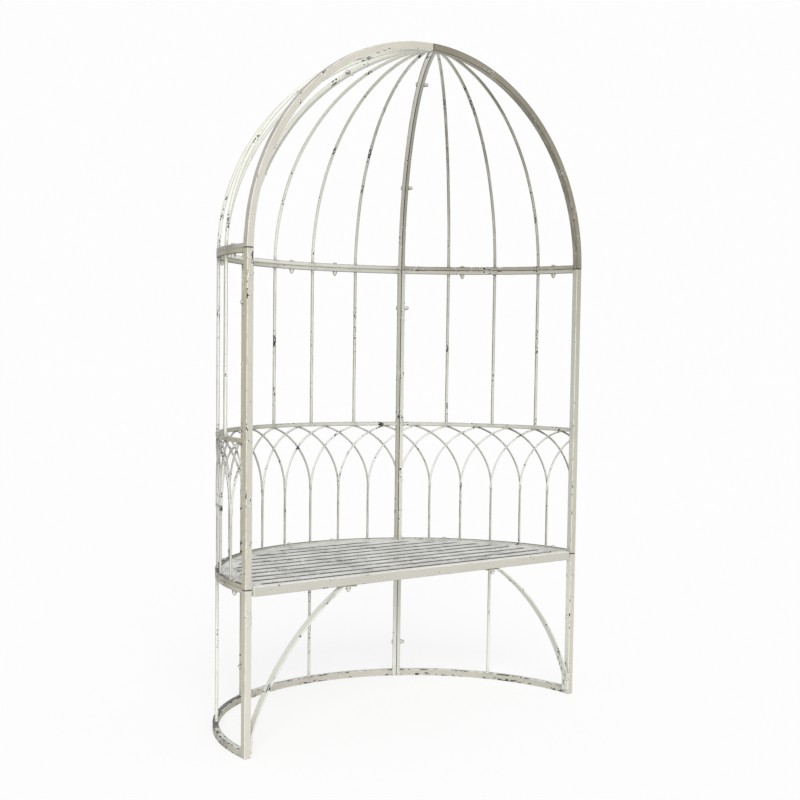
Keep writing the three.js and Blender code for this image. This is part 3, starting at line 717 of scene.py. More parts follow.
@dataclass(frozen=True)
class OldPaint:
    """Cream paint on steel that is rubbed along its edges, chipped and stained at its welds, with
    light and shade painted into its colours by the way each face looks and where it stands.

    Attributes:
        name: Name of the material.
        front: Faces that look to the front, in their painted light.
        left: Painted shade on faces that look to the left.
        left_ahead: How much of that painted shade is lost on faces that look to the front too, from 0 to 1.
        away: Painted shade on faces that look to the right.
        under: Faces that look down, in their painted light and shade.
        top: Faces that look up, in their painted light and shade.
        blush: Warm painted light on the front faces of the members toned blush and pale.
        taupe: Painted shade, on the members toned so and high up on the right.
        pale_wear_and_light: Rubbed corners and their painted highlight, the rims of chips, and the painted light
            of the members toned pale.
        dirt_and_shade: Dirt at the welds and in the streaks, and the painted shade of the dark lines and of the
            corners in deep painted shade.
        bare_steel_and_gap_shade: Bare steel in a chip, and the painted shade and dirt in a gap beside the next
            piece.
        worn_and_shaded: What shows through on a worn top face, and the painted shade and dirt on the faces that
            look to the front.
        painted_shade: How strong the painted shade high up on the right is, from 0 to 1.
        toned: How strong the painted shade of the members toned taupe is, from 0 to 1.
        lined: How dark the painted shade is on the side that looks back to the left, from 0 to 1.
        line_limits: How squarely a face must look there for none and for all of that.
        flanks: How dark the painted shade on the flanks is, left and right of a face to the front left, from 0 to
            1.
        flank_limits: How squarely a face must look to the front left for all and for none of that.
        fade: How much of those two is lost away from the painted shade high up on the right and on the members
            toned taupe, from 0 to 1.
        chips: How many chips there are, from 0 to 1.
        chip_grain: Cycles of the chips in a metre along and across the member.
        corner_chips: How much of the corners is chipped in dashes, from 0 to 1.
        ground_chips: How much of the lowest millimetres is chipped off in dashes, from 0 to 1.
        rubbing: How much of the paint is rubbed along the members, from 0 to 1.
        ridges: How pale the corners are with rubbing and painted highlight, from 0 to 1.
        ridge_from: How near a corner that starts, from 0 in the middle of a face to 1 on the corner.
        low_lines: How dark the painted shade on the lower corners is, from 0 to 1.
        top_wear: How much of the faces that look up is worn through, from 0 to 1.
        wear_grain: Cycles of that wear in a metre along and across the member.
        front_dirt_and_shade: How dark the painted shade and dirt are on the faces that look to the front, from 0
            to 1.
        patch: Where the top is worn the most, or None.
        roughness: Of the sound paint.
    """

    name: str
    front: Colour = (0.66, 0.655, 0.585)
    left: Colour = (0.56, 0.55, 0.45)
    left_ahead: float = 0.0
    away: Colour = (0.44, 0.43, 0.34)
    under: Colour = (0.60, 0.59, 0.52)
    top: Colour = (0.80, 0.80, 0.755)
    blush: Colour = (0.60, 0.565, 0.49)
    taupe: Colour = (0.25, 0.23, 0.17)
    pale_wear_and_light: Colour = (0.88, 0.88, 0.83)
    dirt_and_shade: Colour = (0.13, 0.115, 0.08)
    bare_steel_and_gap_shade: Colour = (0.012, 0.011, 0.009)
    worn_and_shaded: Colour = (0.07, 0.064, 0.055)
    painted_shade: float = 0.5
    toned: float = 0.6
    lined: float = 0.6
    line_limits: tuple[float, float] = (0.8, 0.93)
    flanks: float = 0.0
    flank_limits: tuple[float, float] = (0.68, 0.86)
    fade: float = 0.0
    chips: float = 0.5
    chip_grain: tuple[float, float] = (60.0, 150.0)
    corner_chips: float = 0.3
    ground_chips: float = 0.0
    rubbing: float = 0.4
    ridges: float = 0.7
    ridge_from: float = 0.8
    low_lines: float = 0.7
    top_wear: float = 0.0
    wear_grain: tuple[float, float] = (26.0, 420.0)
    front_dirt_and_shade: float = 0.0
    patch: Patch | None = None
    roughness: float = 0.48

    def material(self) -> bpy.types.Material:
        """Wires the paint: painted light and shade by facing and place, age, rubbed streaks, lines of
        painted shade, worn tops, painted shade and dirt in the gaps, and chips.

        Returns:
            The material.
        """
        w = Coats(self.name, self.front, self.ridge_from)
        self.tones(w)
        self.age(w)
        limit = 0.72 - 0.12 * self.rubbing
        streaks = w.plus(w.streaks((16.0, 300.0), 4.0, 0.65), w.times(w.edge, 0.05))
        rubbed = w.between(streaks, limit, limit + 0.06)
        w.lay(rubbed, self.dirt_and_shade, 0.7)
        self.dark_lines(w)
        if self.top_wear > 0:
            self.worn_top(w)
        # Painted shade and dirt in the gaps beside the next piece and at the ends.
        w.lay(w.gap_dirt_and_shade, self.bare_steel_and_gap_shade, 0.92)
        rim, bare = self.chipped(w)
        w.lay(rim, self.pale_wear_and_light)
        w.lay(bare, self.bare_steel_and_gap_shade)

        grain = w.times(w.noise(w.place, 700.0, 2.0), 0.12)
        height = w.minus(w.plus(grain, w.times(rim, 0.25)), bare)
        bump = w.node("Bump", {"Strength": 0.35, "Distance": 0.4 * MM, "Height": height}).outputs[0]
        rough = w.plus(w.times(rubbed, 0.15), self.roughness)
        rough = w.number("ADD", w.times(bare, 0.2), rough, clamp=True)
        shader = w.node("BsdfPrincipled", {"Base Color": w.colour, "Roughness": rough, "Normal": bump})
        w.node("OutputMaterial", {"Surface": shader.outputs[0]})
        return w.owner

    def tones(self, w: Coats) -> None:
        """Lays painted light and shade by the way that a face looks and by the member's own tone.

        The painted shade in taupe grows to the right and higher up and on the members toned so, and
        is weaker on faces that don't look to the front.

        Args:
            w: The node tree.
        """
        # Painted light and shade by the way each face looks: the faces to the left, to the right, below and above
        # each get a lit or shaded colour of their own.
        lost = w.times(w.between(w.ahead, 0.25, 0.45), self.left_ahead)
        w.lay(w.times(w.facing((-1.0, 0.0, 0.0), 0.3, 0.9), w.minus(1.0, lost)), self.left)
        w.lay(w.facing((0.85, -0.3, 0.0), 0.4, 0.9), self.away)
        # Warm painted light on the front faces of the members toned blush and pale.
        blush = w.number("MULTIPLY", w.between(w.ahead, 0.5, 0.85), w.most(w.tone, 0.0), clamp=True)
        w.lay(blush, self.blush)
        w.lay(w.facing((0.0, 0.0, -1.0), 0.4, 0.9), self.under)
        w.lay(w.level, self.top)
        # Painted shade in taupe: more to the right and higher up and on the members toned so, weaker on faces
        # that don't look to the front.
        corner = w.times(w.between(w.x, -0.2, 0.45), w.between(w.z, 0.7, 1.45))
        own = w.times(w.most(w.times(w.tone, -1.0), 0.0), self.toned)
        even = w.plus(0.7, w.times(w.between(w.ahead, 0.3, 0.8), 0.3))
        w.painted_shade = w.times(w.most(w.times(corner, self.painted_shade), own), even)
        w.lay(w.painted_shade, self.taupe)
        # Painted light: the members toned pale are laid in the pale colour.
        w.lay(w.between(w.tone, 1.0, 2.0), self.pale_wear_and_light, 0.9)

    def age(self, w: Coats) -> None:
        """Lays clouds, specks, pale corners with painted highlight that turn dark with painted shade where the
        painted shade is deep, stains at the welds, and painted shade and dirt on the fronts.

        Args:
            w: The node tree.
        """
        w.lay(w.between(w.noise(w.place, 6.0, 3.0), 0.38, 0.66), self.away, 0.18)
        w.lay(w.between(w.noise(w.place, 210.0, 3.0, 0.7), 0.5, 0.68), self.dirt_and_shade, 0.12)
        # Corners: pale with rubbing and painted highlight, and dark with painted shade where the painted shade is
        # deep.
        deep_shade = w.between(w.painted_shade, 0.3, 0.8)
        pale = w.times(w.ridge, w.between(w.noise(w.place, 30.0), 0.34, 0.5))
        w.lay(pale, w.mix(deep_shade, self.pale_wear_and_light, self.dirt_and_shade), self.ridges)
        w.lay(w.times(deep_shade, w.between(w.edge, 0.5, 0.75)), self.dirt_and_shade, 0.6)
        dirt = w.between(w.noise(w.place, 150.0, 4.0, 0.7), 0.38, 0.66)
        w.lay(w.times(w.weld, dirt), self.dirt_and_shade, 0.75)
        if self.front_dirt_and_shade > 0:
            # Painted shade and dirt on the faces that look to the front, as on the slats' fronts in the gaps
            # between them.
            dirt = w.plus(w.ahead, w.noise(w.lie, 9.0, 3.0))
            w.lay(w.between(dirt, 0.8, 1.05), self.worn_and_shaded, self.front_dirt_and_shade)

    def dark_lines(self, w: Coats) -> None:
        """Lays painted shade in broken lines on the side that looks back to the left, on the flanks and on the
        lower corners.

        Args:
            w: The node tree.
        """
        kept = w.most(w.painted_shade, 1.0 - self.fade)
        # Painted shade in broken lines on the side that looks back to the left: more on the members toned taupe,
        # less on those toned blush and pale.
        facing = w.minus(w.along(w.normal, (-0.78, 0.62, 0.0)), w.times(w.tone, 0.45))
        lines = w.times(w.between(facing, *self.line_limits), w.between(w.streaks((14.0, 40.0)), 0.36, 0.56))
        w.lay(w.times(lines, kept), self.dirt_and_shade, self.lined)
        if self.flanks > 0:
            # Painted shade on the flanks, left and right of a face that looks to the front left.
            facing = w.between(w.number("ABSOLUTE", w.along(w.normal, (-0.62, -0.78, 0.05))),
                               *self.flank_limits[::-1])
            lines = w.times(facing, w.between(w.streaks((9.0, 90.0)), 0.4, 0.52))
            w.lay(w.times(lines, kept), self.dirt_and_shade, self.flanks)
        # Painted shade on the lower corners.
        w.lay(w.times(w.ridge, w.facing((0.0, 0.0, -1.0), 0.25, 0.6)), self.dirt_and_shade, self.low_lines)

    def worn_top(self, w: Coats) -> None:
        """Lays streaks on a top face, broad grey ones and fine dark ones, and more on the patch.

        Args:
            w: The node tree.
        """
        limit = 0.68 - 0.26 * self.top_wear
        broad = w.between(w.streaks((9.0, 210.0), 4.0, 0.6), limit, limit + 0.16)
        grey = tuple((a + b) / 2.6 for a, b in zip(self.pale_wear_and_light, self.worn_and_shaded))
        w.lay(w.times(broad, w.level), grey, 0.7)
        fine = w.plus(w.streaks(self.wear_grain, 5.0, 0.7), w.times(w.noise(w.place, 9.0, 2.0), 0.3))
        if self.patch is not None:
            legs = [w.number("POWER", w.number("ABSOLUTE", w.minus(*pair)), 2.0)
                    for pair in ((w.x, self.patch.x), (w.y, self.patch.y))]
            near = w.between(w.number("SQRT", w.plus(*legs)), self.patch.radius, 0.6 * self.patch.radius)
            fine = w.plus(fine, w.times(near, 0.2))
        limit = 0.86 - 0.2 * self.top_wear
        w.lay(w.times(w.between(fine, limit, limit + 0.05), w.level), self.worn_and_shaded, 0.9)

    def chipped(self, w: Coats) -> tuple[Socket, Socket]:
        """Chips: spots where a noise raised at edges and welds passes a limit, and dashes on corners.

        The noise of the spots lies along the member, and the member's own place shifts it, so
        that neighbours differ.

        Args:
            w: The node tree.

        Returns:
            The chips' pale rims, and the bare steel in them.
        """
        lifted = w.plus(w.times(w.edge, 0.06), w.times(w.weld, 0.04))
        groups = w.times(w.noise(w.place, 15.0, 1.0), 0.75)
        across = w.node("SeparateXYZ", {0: w.stretched(w.lie, (*self.chip_grain, 1.0))}).outputs
        member = w.times(w.along(w.place, (1.0, 0.7, 0.0)), 60.0)
        spread = w.node("CombineXYZ", {0: across[0], 1: across[1], 2: member}).outputs[0]
        spots = w.plus(w.plus(w.noise(spread, 1.0, 3.0, 0.6), groups), lifted)
        limit = 1.19 - 0.13 * self.chips
        rim = w.between(spots, limit - 0.03, limit - 0.02)
        bare = w.between(spots, limit, limit + 0.01)
        dashes = w.plus(w.streaks((55.0, 160.0), 3.0, 0.6), w.times(w.noise(w.place, 6.0, 1.0), 0.6))
        strips = [(w.ridge, self.corner_chips)]
        if self.ground_chips > 0:
            strips.append((w.between(w.z, *GROUND_BAND), self.ground_chips))
        for strip, amount in strips:
            limit = 1.1 - 0.3 * amount
            bare = w.most(bare, w.times(strip, w.between(dashes, limit, limit + 0.02)))
        return rim, bare


# Sizes shared by the panels


@dataclass(frozen=True)
class Plan:
    """The arbour's shared sizes.

    They are those of the CAD model, apart from the rods. Those are 8 mm there, and their coats
    of paint and rust make them 1.4 mm thicker here.
    """

    half_width: float = 605 * MM
    seam_height: float = 450 * MM
    waist_top: float = 847 * MM
    ring_height: float = 1345 * MM
    gap: float = 0.3 * MM
    leg: float = 20 * MM
    rail: float = 12 * MM
    rail_inset: float = 7 * MM
    base_height: float = 21 * MM
    base_depth: float = 16 * MM
    base_inset: float = 2 * MM
    rod: float = 9.4 * MM
    bite: float = 1.5 * MM
    panel_angle: float = math.pi / 3

    @property
    def outer(self) -> float:
        """Outer radius of the rails."""
        return self.half_width - self.rail_inset

    @property
    def wall(self) -> float:
        """Radius of the wall's middle, where rails, posts and rods stand."""
        return self.outer - self.rail / 2

    @property
    def base_radius(self) -> float:
        """Middle radius of the base rail."""
        return self.half_width - self.base_inset - self.base_depth / 2

    @property
    def leg_middle(self) -> float:
        """Distance of a front leg's middle from the middle plane."""
        return self.half_width - self.leg / 2

    @property
    def post_offset(self) -> float:
        """Distance of a seam post's middle from the seam."""
        return (self.gap + self.rail) / 2

    @property
    def post_face(self) -> float:
        """Distance of a seam post's far face from the seam."""
        return self.gap / 2 + self.rail

    @property
    def low_top(self) -> float:
        """Top of the low tier."""
        return self.seam_height - self.gap / 2

    @property
    def tall_bottom(self) -> float:
        """Bottom of the tall tier."""
        return self.seam_height + self.gap / 2

    @property
    def tall_top(self) -> float:
        """Top of the tall tier."""
        return self.ring_height - self.gap / 2

    @property
    def dome_bottom(self) -> float:
        """Bottom of the dome."""
        return self.ring_height + self.gap / 2

    @property
    def centre(self) -> np.ndarray:
        """The plan centre in the model: the whole is as deep as the legs' front and the base's back."""
        deep = self.leg / 2 + self.half_width - self.base_inset
        return np.array([0.0, self.leg / 2 - deep / 2, 0.0])

    def on_wall(self, angle: Length, height: Length, radius: float | None = None) -> np.ndarray:
        """A place on the wall: radius times cosine and sine of the angle, at a height."""
        radius = self.wall if radius is None else radius
        return vectors(radius * np.cos(angle), radius * np.sin(angle), height)

    def outwards(self, angle: Length) -> np.ndarray:
        """The level direction away from the plan centre."""
        return vectors(np.cos(angle), np.sin(angle), 0.0)

    def sideways(self, angle: Length) -> np.ndarray:
        """The level direction along the wall, towards greater angles."""
        return vectors(-np.sin(angle), np.cos(angle), 0.0)


PLAN = Plan()


@dataclass(frozen=True)
class Span:
    """The stretch of the half circle that a panel takes, from a start to an end in plan angle.

    A side panel's starts at a front leg, and the back panel's at a seam.
    """

    start: float
    end: float
    at_leg: bool

    @property
    def start_inset(self) -> float:
        """How far the rails' first ends stand from the panel's first plane."""
        return 0.0 if self.at_leg else PLAN.post_offset

    def at(self, share: float) -> float:
        """The plan angle a share of the way along."""
        return self.start + share * (self.end - self.start)


SIDE = Span(0.0, PLAN.panel_angle, True)
BACK = Span(PLAN.panel_angle, 2 * PLAN.panel_angle, False)


# Panels


@dataclass
class Panel:
    """One welded panel: its frame, its rods and its welds are separate pieces.

    Attributes:
        place: Which of the tier's panels it is.
        tier: Name of the tier, as in the CAD nodes' names.
    """

    place: Place
    tier: str = ""

    def __post_init__(self) -> None:
        """Starts the panel's empty shells."""
        self.span = BACK if self.place is Place.BACK else SIDE
        self.node = f"{self.tier}_panel_{self.place.value}"
        self.frame = Shell(f"{self.node}_frame")
        self.rods = Shell(f"{self.node}_rods")
        self.welds = Shell(f"{self.node}_welds")
        self.joints: list[np.ndarray] = []

    def rail(self, bottom: float, height: float | None = None, depth: float | None = None,
             radius: float | None = None, mate: float | None = None, shell: Shell | None = None) -> None:
        """A level rail along the half circle, with a bead where it meets each post.

        Args:
            bottom: Height of its underside.
            height: Its height, or None for a square rail.
            depth: Its depth, or None for a square rail.
            radius: Its middle radius, or None for the wall's.
            mate: 1 if another rail lies on it, -1 if it lies on another one, or None.
            shell: The piece that it belongs to, or None for the frame.
        """
        height, depth = height or PLAN.rail, depth or PLAN.rail
        radius = radius or PLAN.wall
        middle = bottom + height / 2
        start = self.span.start + math.asin(self.span.start_inset / radius)
        end = self.span.end - math.asin(PLAN.post_offset / radius)
        angles = np.linspace(start, end, 64)
        outline = square_outline(depth, height)
        path = path_through(PLAN.on_wall(angles, middle, radius), PLAN.outwards(angles))
        made = carried(outline, path)
        # Painted shade and dirt along the corner where the next rail lies, and fainter on the other corners.
        joint = GapDirtAndShade((0.0, mate), 1.0, MATED_LINE) if mate else GapDirtAndShade((0.0, 1.0), 0.5, OPEN_LINE)
        other = GapDirtAndShade((0.0, -joint.way[1]), 0.4, OPEN_LINE)
        (shell or self.frame).add(made if shell else made.with_gap_dirt_and_shade(outline, joint, other))
        last = (self.span.end, -1, PLAN.post_face)
        first = (self.span.start, 1, PLAN.leg / 2 if self.span.at_leg else PLAN.post_face)
        for seam, side, away in (first, last):
            angle = seam + side * math.asin(away / radius)
            centre = PLAN.on_wall(angle, middle, radius)
            self.welds.add(bead(outline, centre, PLAN.outwards(seam), side * PLAN.sideways(seam),
                                RAIL_BEAD, FLUSH_BEAD, seed=angle + middle))
            self.joints += [centre - UP * height / 2, centre + UP * height / 2]

    def posts(self, bottom: float, top: float, grooves: tuple[float, ...] = ()) -> None:
        """The panel's posts: a front leg or a seam post at its start and a seam post at its end.

        Args:
            bottom: Height of their lower ends.
            top: Height of their upper ends.
            grooves: Heights of fine grooves round the leg.
        """
        square = square_outline(PLAN.rail, PLAN.rail)
        seams = [(self.span.end, -1)] if self.span.at_leg else [(self.span.start, 1), (self.span.end, -1)]
        for angle, side in seams:
            foot = PLAN.on_wall(angle, bottom) + side * PLAN.post_offset * PLAN.sideways(angle)
            path = straight(foot, foot + UP * (top - bottom), PLAN.outwards(angle))
            mate = float(-side * (path.up[0] @ PLAN.sideways(angle)))
            # Painted shade on the back panel's first post in the tall tier.
            tone = Tone.TAUPE if self.place is Place.BACK and side > 0 and bottom > 0 else Tone.PLAIN
            made = carried(square, path, tone)
            # Painted shade and dirt on the side against the next post, and at the ends.
            self.frame.add(made.with_gap_dirt_and_shade(square, GapDirtAndShade((0.0, mate)), ends=(bottom > 0, True)))
        if self.span.at_leg:
            self.leg(bottom, top, grooves)

    def leg(self, bottom: float, top: float, grooves: tuple[float, ...]) -> None:
        """A length of a front leg.

        Args:
            bottom: Height of its lower end.
            top: Height of its upper end.
            grooves: Heights of fine grooves round it, each a bell-shaped dip in its section.
        """
        foot = np.array([PLAN.leg_middle, 0.0, bottom])
        marks = tuple(g - bottom for g in grooves)
        path = straight(foot, foot + UP * (top - bottom), np.array([1.0, 0.0, 0.0]), marks=marks)
        away = np.subtract.outer(path.along, np.array(marks or (-1.0,)))
        swell = 1 - GROOVE_DEPTH * np.exp(-(away / GROOVE_REACH) ** 2).max(axis=1)
        outline = square_outline(PLAN.leg, PLAN.leg, TUBE_CORNER)
        # Warm painted light on the leg's front face.
        made = carried(outline, path, Tone.BLUSH, chamfer=TUBE_BEVEL, swell=swell)
        # Painted shade and dirt at the leg's ends.
        self.frame.add(made.with_gap_dirt_and_shade(outline, ends=(bottom > 0, True)))

    def rod(self, angle: float, bottom: float, top: float, diameter: float | None = None,
            welded_top: bool = True, tone: Tone = Tone.PLAIN) -> None:
        """An upright rod in the wall, welded to what it stands on and to what it meets.

        Args:
            angle: Its plan angle.
            bottom: Height of the face that it stands on.
            top: Height of the face that it meets.
            diameter: Its diameter, or None for a plain rod's.
            welded_top: Whether it has a bead at its top.
            tone: Its painted light and shade.
        """
        outline = round_outline(diameter or PLAN.rod)
        ends = (bottom - PLAN.bite, top + PLAN.bite if welded_top else top)
        start, end = (PLAN.on_wall(angle, z) for z in ends)
        self.rods.add(carried(outline, straight(start, end, PLAN.outwards(angle)), tone))
        for height in (bottom, top) if welded_top else (bottom,):
            self.rod_weld(outline, angle, height, angle * 9 + height)

    def rod_weld(self, outline: Outline, angle: float, height: float, seed: float) -> None:
        """A bead round a rod's end, which also stains what is near it."""
        centre = PLAN.on_wall(angle, height)
        self.welds.add(bead(outline, centre, PLAN.outwards(angle), UP, ROD_BEAD, seed=seed))
        self.joints.append(centre)

    def spot(self, centre: np.ndarray, along: np.ndarray, across: np.ndarray, sizes: Triple) -> None:
        """A spot of weld, which also stains what is near it."""
        self.welds.add(lump(centre, along, across, sizes, seed=float(centre.sum() * 31)))
        self.joints.append(centre)

    def build(self, paint: bpy.types.Material, rod_paint: bpy.types.Material, slot: str,
              base_paint: bpy.types.Material | None = None) -> list[bpy.types.Object]:
        """Makes the panel's pieces and dresses them.

        Args:
            paint: The finish of its frame.
            rod_paint: The finish of its rods and welds.
            slot: The record's material slot.
            base_paint: The finish of the low tier's base rail.

        Returns:
            The pieces.
        """
        made = []
        shells = [(self.frame, paint), (self.rods, rod_paint), (self.welds, rod_paint)]
        if base_paint is not None:
            shells.append((self.base, base_paint))
        for shell, finish in shells:
            shell.welds = list(self.joints)
            if self.place is Place.LEFT:
                shell.surfaces = [s.mirrored() for s in shell.surfaces]
                shell.welds = [w * MIRROR for w in shell.welds]
            made.append(dressed(shell, finish, slot, self.node))
        return made


def dressed(shell: Shell, paint: bpy.types.Material, slot: str, *nodes: str) -> bpy.types.Object:
    """Builds a shell, paints it, and lets it ride and stand for its CAD nodes.

    Args:
        shell: The surfaces.
        paint: The finish.
        slot: The record's material slot. Not used.
        *nodes: The CAD nodes that it stands for.

    Returns:
        The piece.
    """
    piece = shell.build(PLAN.centre)
    piece.data.materials.append(paint)
    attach(piece, "root")
    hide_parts(*nodes)
    LOG.info("%s: %d vertices", piece.name, len(piece.data.vertices))
    return piece


@dataclass
class LowPanel(Panel):
    """A panel of the low tier: base rail, top rail, one rod and the lugs under the seat's rim.

    The leg's fine groove lies the cap's height below its top, and a lug goes its own length
    inwards from the top rail.
    """

    tier: str = "low"
    cap_height: float = 14 * MM
    lug_length: float = 26 * MM
    lug_width: float = 25 * MM
    lug_thickness: float = 4 * MM
    lug_corner: float = 0.8 * MM
    lug_shares: tuple[float, float] = (0.3, 0.72)

    def __post_init__(self) -> None:
        """Adds the base rail's shell."""
        super().__post_init__()
        self.base = Shell(f"{self.node}_base")

    def shape(self) -> "LowPanel":
        """Makes the panel's surfaces."""
        top_rail = PLAN.low_top - PLAN.rail
        self.posts(0.0, PLAN.low_top, (PLAN.low_top - self.cap_height,))
        self.rail(0.0, PLAN.base_height, PLAN.base_depth, PLAN.base_radius, shell=self.base)
        self.rail(top_rail, mate=1)
        self.rod(self.span.at(0.5), PLAN.base_height, top_rail)
        near, far = self.lug_shares
        for share in (near, far) if self.span.at_leg else (1 - far, far):
            self.lug(self.span.at(share))
        return self

    def lug(self, angle: float) -> None:
        """A small plate from the top rail inwards."""
        outline = square_outline(self.lug_width, self.lug_thickness, self.lug_corner)
        height = PLAN.low_top - self.lug_thickness / 2
        root = PLAN.wall - PLAN.rail / 2 + PLAN.bite
        ends = [PLAN.on_wall(angle, height, r) for r in (root - self.lug_length, root)]
        self.frame.add(carried(outline, straight(*ends, PLAN.sideways(angle))))


@dataclass
class TallPanel(Panel):
    """A panel of the tall tier: three rails, the lattice of crossing arches and plain rods above.

    Attributes:
        bays: Spaces between the lattice's uprights.
        arc_rod: Diameter of the arches' rods.
        upright_rod: Diameter of the uprights.
        radius_bays: Radius of an arch, in bays.
        reach_bays: How far along the wall an arch leans, in bays.
        proud: How far an upright goes on above the arches' feet.
        layer: How far each layer of arches stands from the wall's middle.
        rod_shares: Where the plain rods are, as shares of the panel's angle.
        post_spot: Half sizes of the weld where an arch ends in a post.
        crossing_spot: The same where two arches cross.
        top_spot: The same where they cross at the waist rail.
        top_drop: How far below that crossing it lies.
        foot_spot: The same at their feet.
    """

    tier: str = "tall"
    bays: int = 6
    arc_rod: float = 6 * MM
    upright_rod: float = 7 * MM
    radius_bays: float = 2.0
    reach_bays: float = 1.5
    proud: float = 8 * MM
    layer: float = 2.1 * MM
    rod_shares: tuple[float, ...] = (0.25, 0.5, 0.75)
    post_spot: Triple = (6 * MM, 4 * MM, 3.2 * MM)
    crossing_spot: Triple = (4.2 * MM, 3 * MM, 3.8 * MM)
    top_spot: Triple = (8.5 * MM, 4.2 * MM, 2.6 * MM)
    top_drop: float = 0.8 * MM
    foot_spot: Triple = (9 * MM, 4.6 * MM, 4.2 * MM)

    def __post_init__(self) -> None:
        """Works out the lattice's sizes."""
        super().__post_init__()
        self.waist_under = PLAN.waist_top - PLAN.rail
        self.bay_angle = PLAN.panel_angle / self.bays
        self.bay = PLAN.wall * self.bay_angle
        self.circle = self.radius_bays * self.bay
        self.reach = self.reach_bays * self.bay
        self.foot_height = self.waist_under - math.sqrt(self.circle ** 2 - (self.circle - self.reach) ** 2)

    def shape(self) -> "TallPanel":
        """Makes the panel's surfaces."""
        self.posts(PLAN.tall_bottom, PLAN.tall_top)
        for bottom, mate in ((PLAN.tall_bottom, -1), (self.waist_under, None), (PLAN.tall_top - PLAN.rail, 1)):
            self.rail(bottom, mate=mate)
        for share in self.rod_shares:
            self.rod(self.span.at(share), PLAN.waist_top, PLAN.tall_top - PLAN.rail)
        # The uprights get the taupe painted shade.
        for i in range(1, self.bays):
            self.rod(self.span.at(i / self.bays), PLAN.tall_bottom + PLAN.rail, self.foot_height + self.proud,
                     self.upright_rod, welded_top=False, tone=Tone.TAUPE)
        for lean in (1, -1):
            for foot in range(-1, self.bays):
                self.arc(lean, foot)
        self.crossings()
        return self

    def travel(self, turn: np.ndarray) -> np.ndarray:
        """How far along the wall an arc has leaned after a turn: radius times one less its cosine."""
        return self.circle * (1 - np.cos(turn))

    def arc(self, lean: int, foot: int) -> None:
        """A half arch of the lattice.

        Unrolled, it is a quarter of a circle or less: it climbs by the radius times the sine of
        the turn while it travels along the wall by the radius times one less the cosine. One
        that would pass the panel's edge starts or ends in the post there.

        Args:
            lean: 1 for an arc that leans towards greater angles and -1 for the other way.
            foot: The bay at whose start it stands, counted from the panel's edge.
        """
        near = self.span.start_inset if lean > 0 else PLAN.post_offset
        far = PLAN.post_offset if lean > 0 else self.span.start_inset
        start = max(0.0, near - foot * self.bay)
        end = min(self.reach + PLAN.bite, (self.bays - foot) * self.bay - far)
        turns = np.linspace(math.acos(1 - start / self.circle), math.acos(1 - end / self.circle), 30)
        origin = self.span.start if lean > 0 else self.span.end
        angles = origin + lean * (foot * self.bay_angle + self.travel(turns) / PLAN.wall)
        heights = self.foot_height + self.circle * np.sin(turns)
        places = PLAN.on_wall(angles, heights, PLAN.wall + lean * self.layer)
        # Painted shade on the arcs that lean towards greater angles, painted light on the others.
        tone = Tone.TAUPE if lean > 0 else Tone.PALE
        path = path_through(places, PLAN.outwards(angles))
        self.rods.add(carried(round_outline(self.arc_rod, 12), path, tone))
        if end < self.reach and foot < self.bays - 1:
            self.spot(places[-1], places[-1] - places[-2], PLAN.outwards(angles[-1]), self.post_spot)

    def crossings(self) -> None:
        """Spots of weld where arcs cross, where they reach the waist rail and at their feet.

        Two arcs that lean towards each other from feet a whole number of bays apart cross half
        way between, at a turn whose travel is half of that distance.
        """
        for foot in range(-1, self.bays + 2):
            for apart in (1, 2, 3):
                share = (foot + apart / 2) / self.bays
                if not 0.02 < share < 0.98:
                    continue
                turn = math.acos(1 - apart * self.bay / 2 / self.circle)
                angle = self.span.at(share)
                centre = PLAN.on_wall(angle, self.foot_height + self.circle * math.sin(turn))
                if apart == 3:
                    centre = centre - UP * self.top_drop
                    self.spot(centre, PLAN.sideways(angle), PLAN.outwards(angle), self.top_spot)
                else:
                    self.spot(centre, UP, PLAN.outwards(angle), self.crossing_spot)
        for i in range(1, self.bays):
            angle = self.span.at(i / self.bays)
            centre = PLAN.on_wall(angle, self.foot_height + self.proud * 0.6)
            self.spot(centre, UP, PLAN.outwards(angle), self.foot_spot)


@dataclass(frozen=True)
class DomeArc:
    """The upright circle in which a rib or rod of the dome lies.

    It passes over a plan point at the ring, and its plane passes the crown at an offset.

    Attributes:
        angle: Plan angle of that point.
        crown_offset: How far to the right of the crown the plane passes.
    """

    angle: float
    crown_offset: float

    @property
    def outwards(self) -> np.ndarray:
        """The level direction of the circle's plane, away from the crown."""
        way = PLAN.on_wall(self.angle, 0.0) - np.array([self.crown_offset, 0.0, 0.0])
        return way / np.linalg.norm(way)

    @property
    def sideways(self) -> np.ndarray:
        """The level direction across the circle's plane, towards smaller angles."""
        x, y, _ = self.outwards
        return np.array([y, -x, 0.0])

    @property
    def centre(self) -> np.ndarray:
        """The circle's middle: the foot of the perpendicular from the plan centre to its plane."""
        ring = PLAN.on_wall(self.angle, 0.0)
        return ring - (ring @ self.outwards) * self.outwards + UP * PLAN.dome_bottom

    @property
    def radius(self) -> float:
        """Its radius, so that it lies on the wall's sphere."""
        return math.sqrt(PLAN.wall ** 2 - (self.centre[:2] ** 2).sum())

    def turn_at_depth(self, depth: float) -> float:
        """The turn at which it is a distance behind the front legs' middle plane."""
        return math.acos((depth - self.centre[1]) / self.outwards[1] / self.radius)

    def points(self, turns: Length) -> np.ndarray:
        """Its places: cosine of the turn along outwards and sine of it upwards, times the radius."""
        turns = np.asarray(turns)[..., None]
        return self.centre + self.radius * (np.cos(turns) * self.outwards + np.sin(turns) * UP)


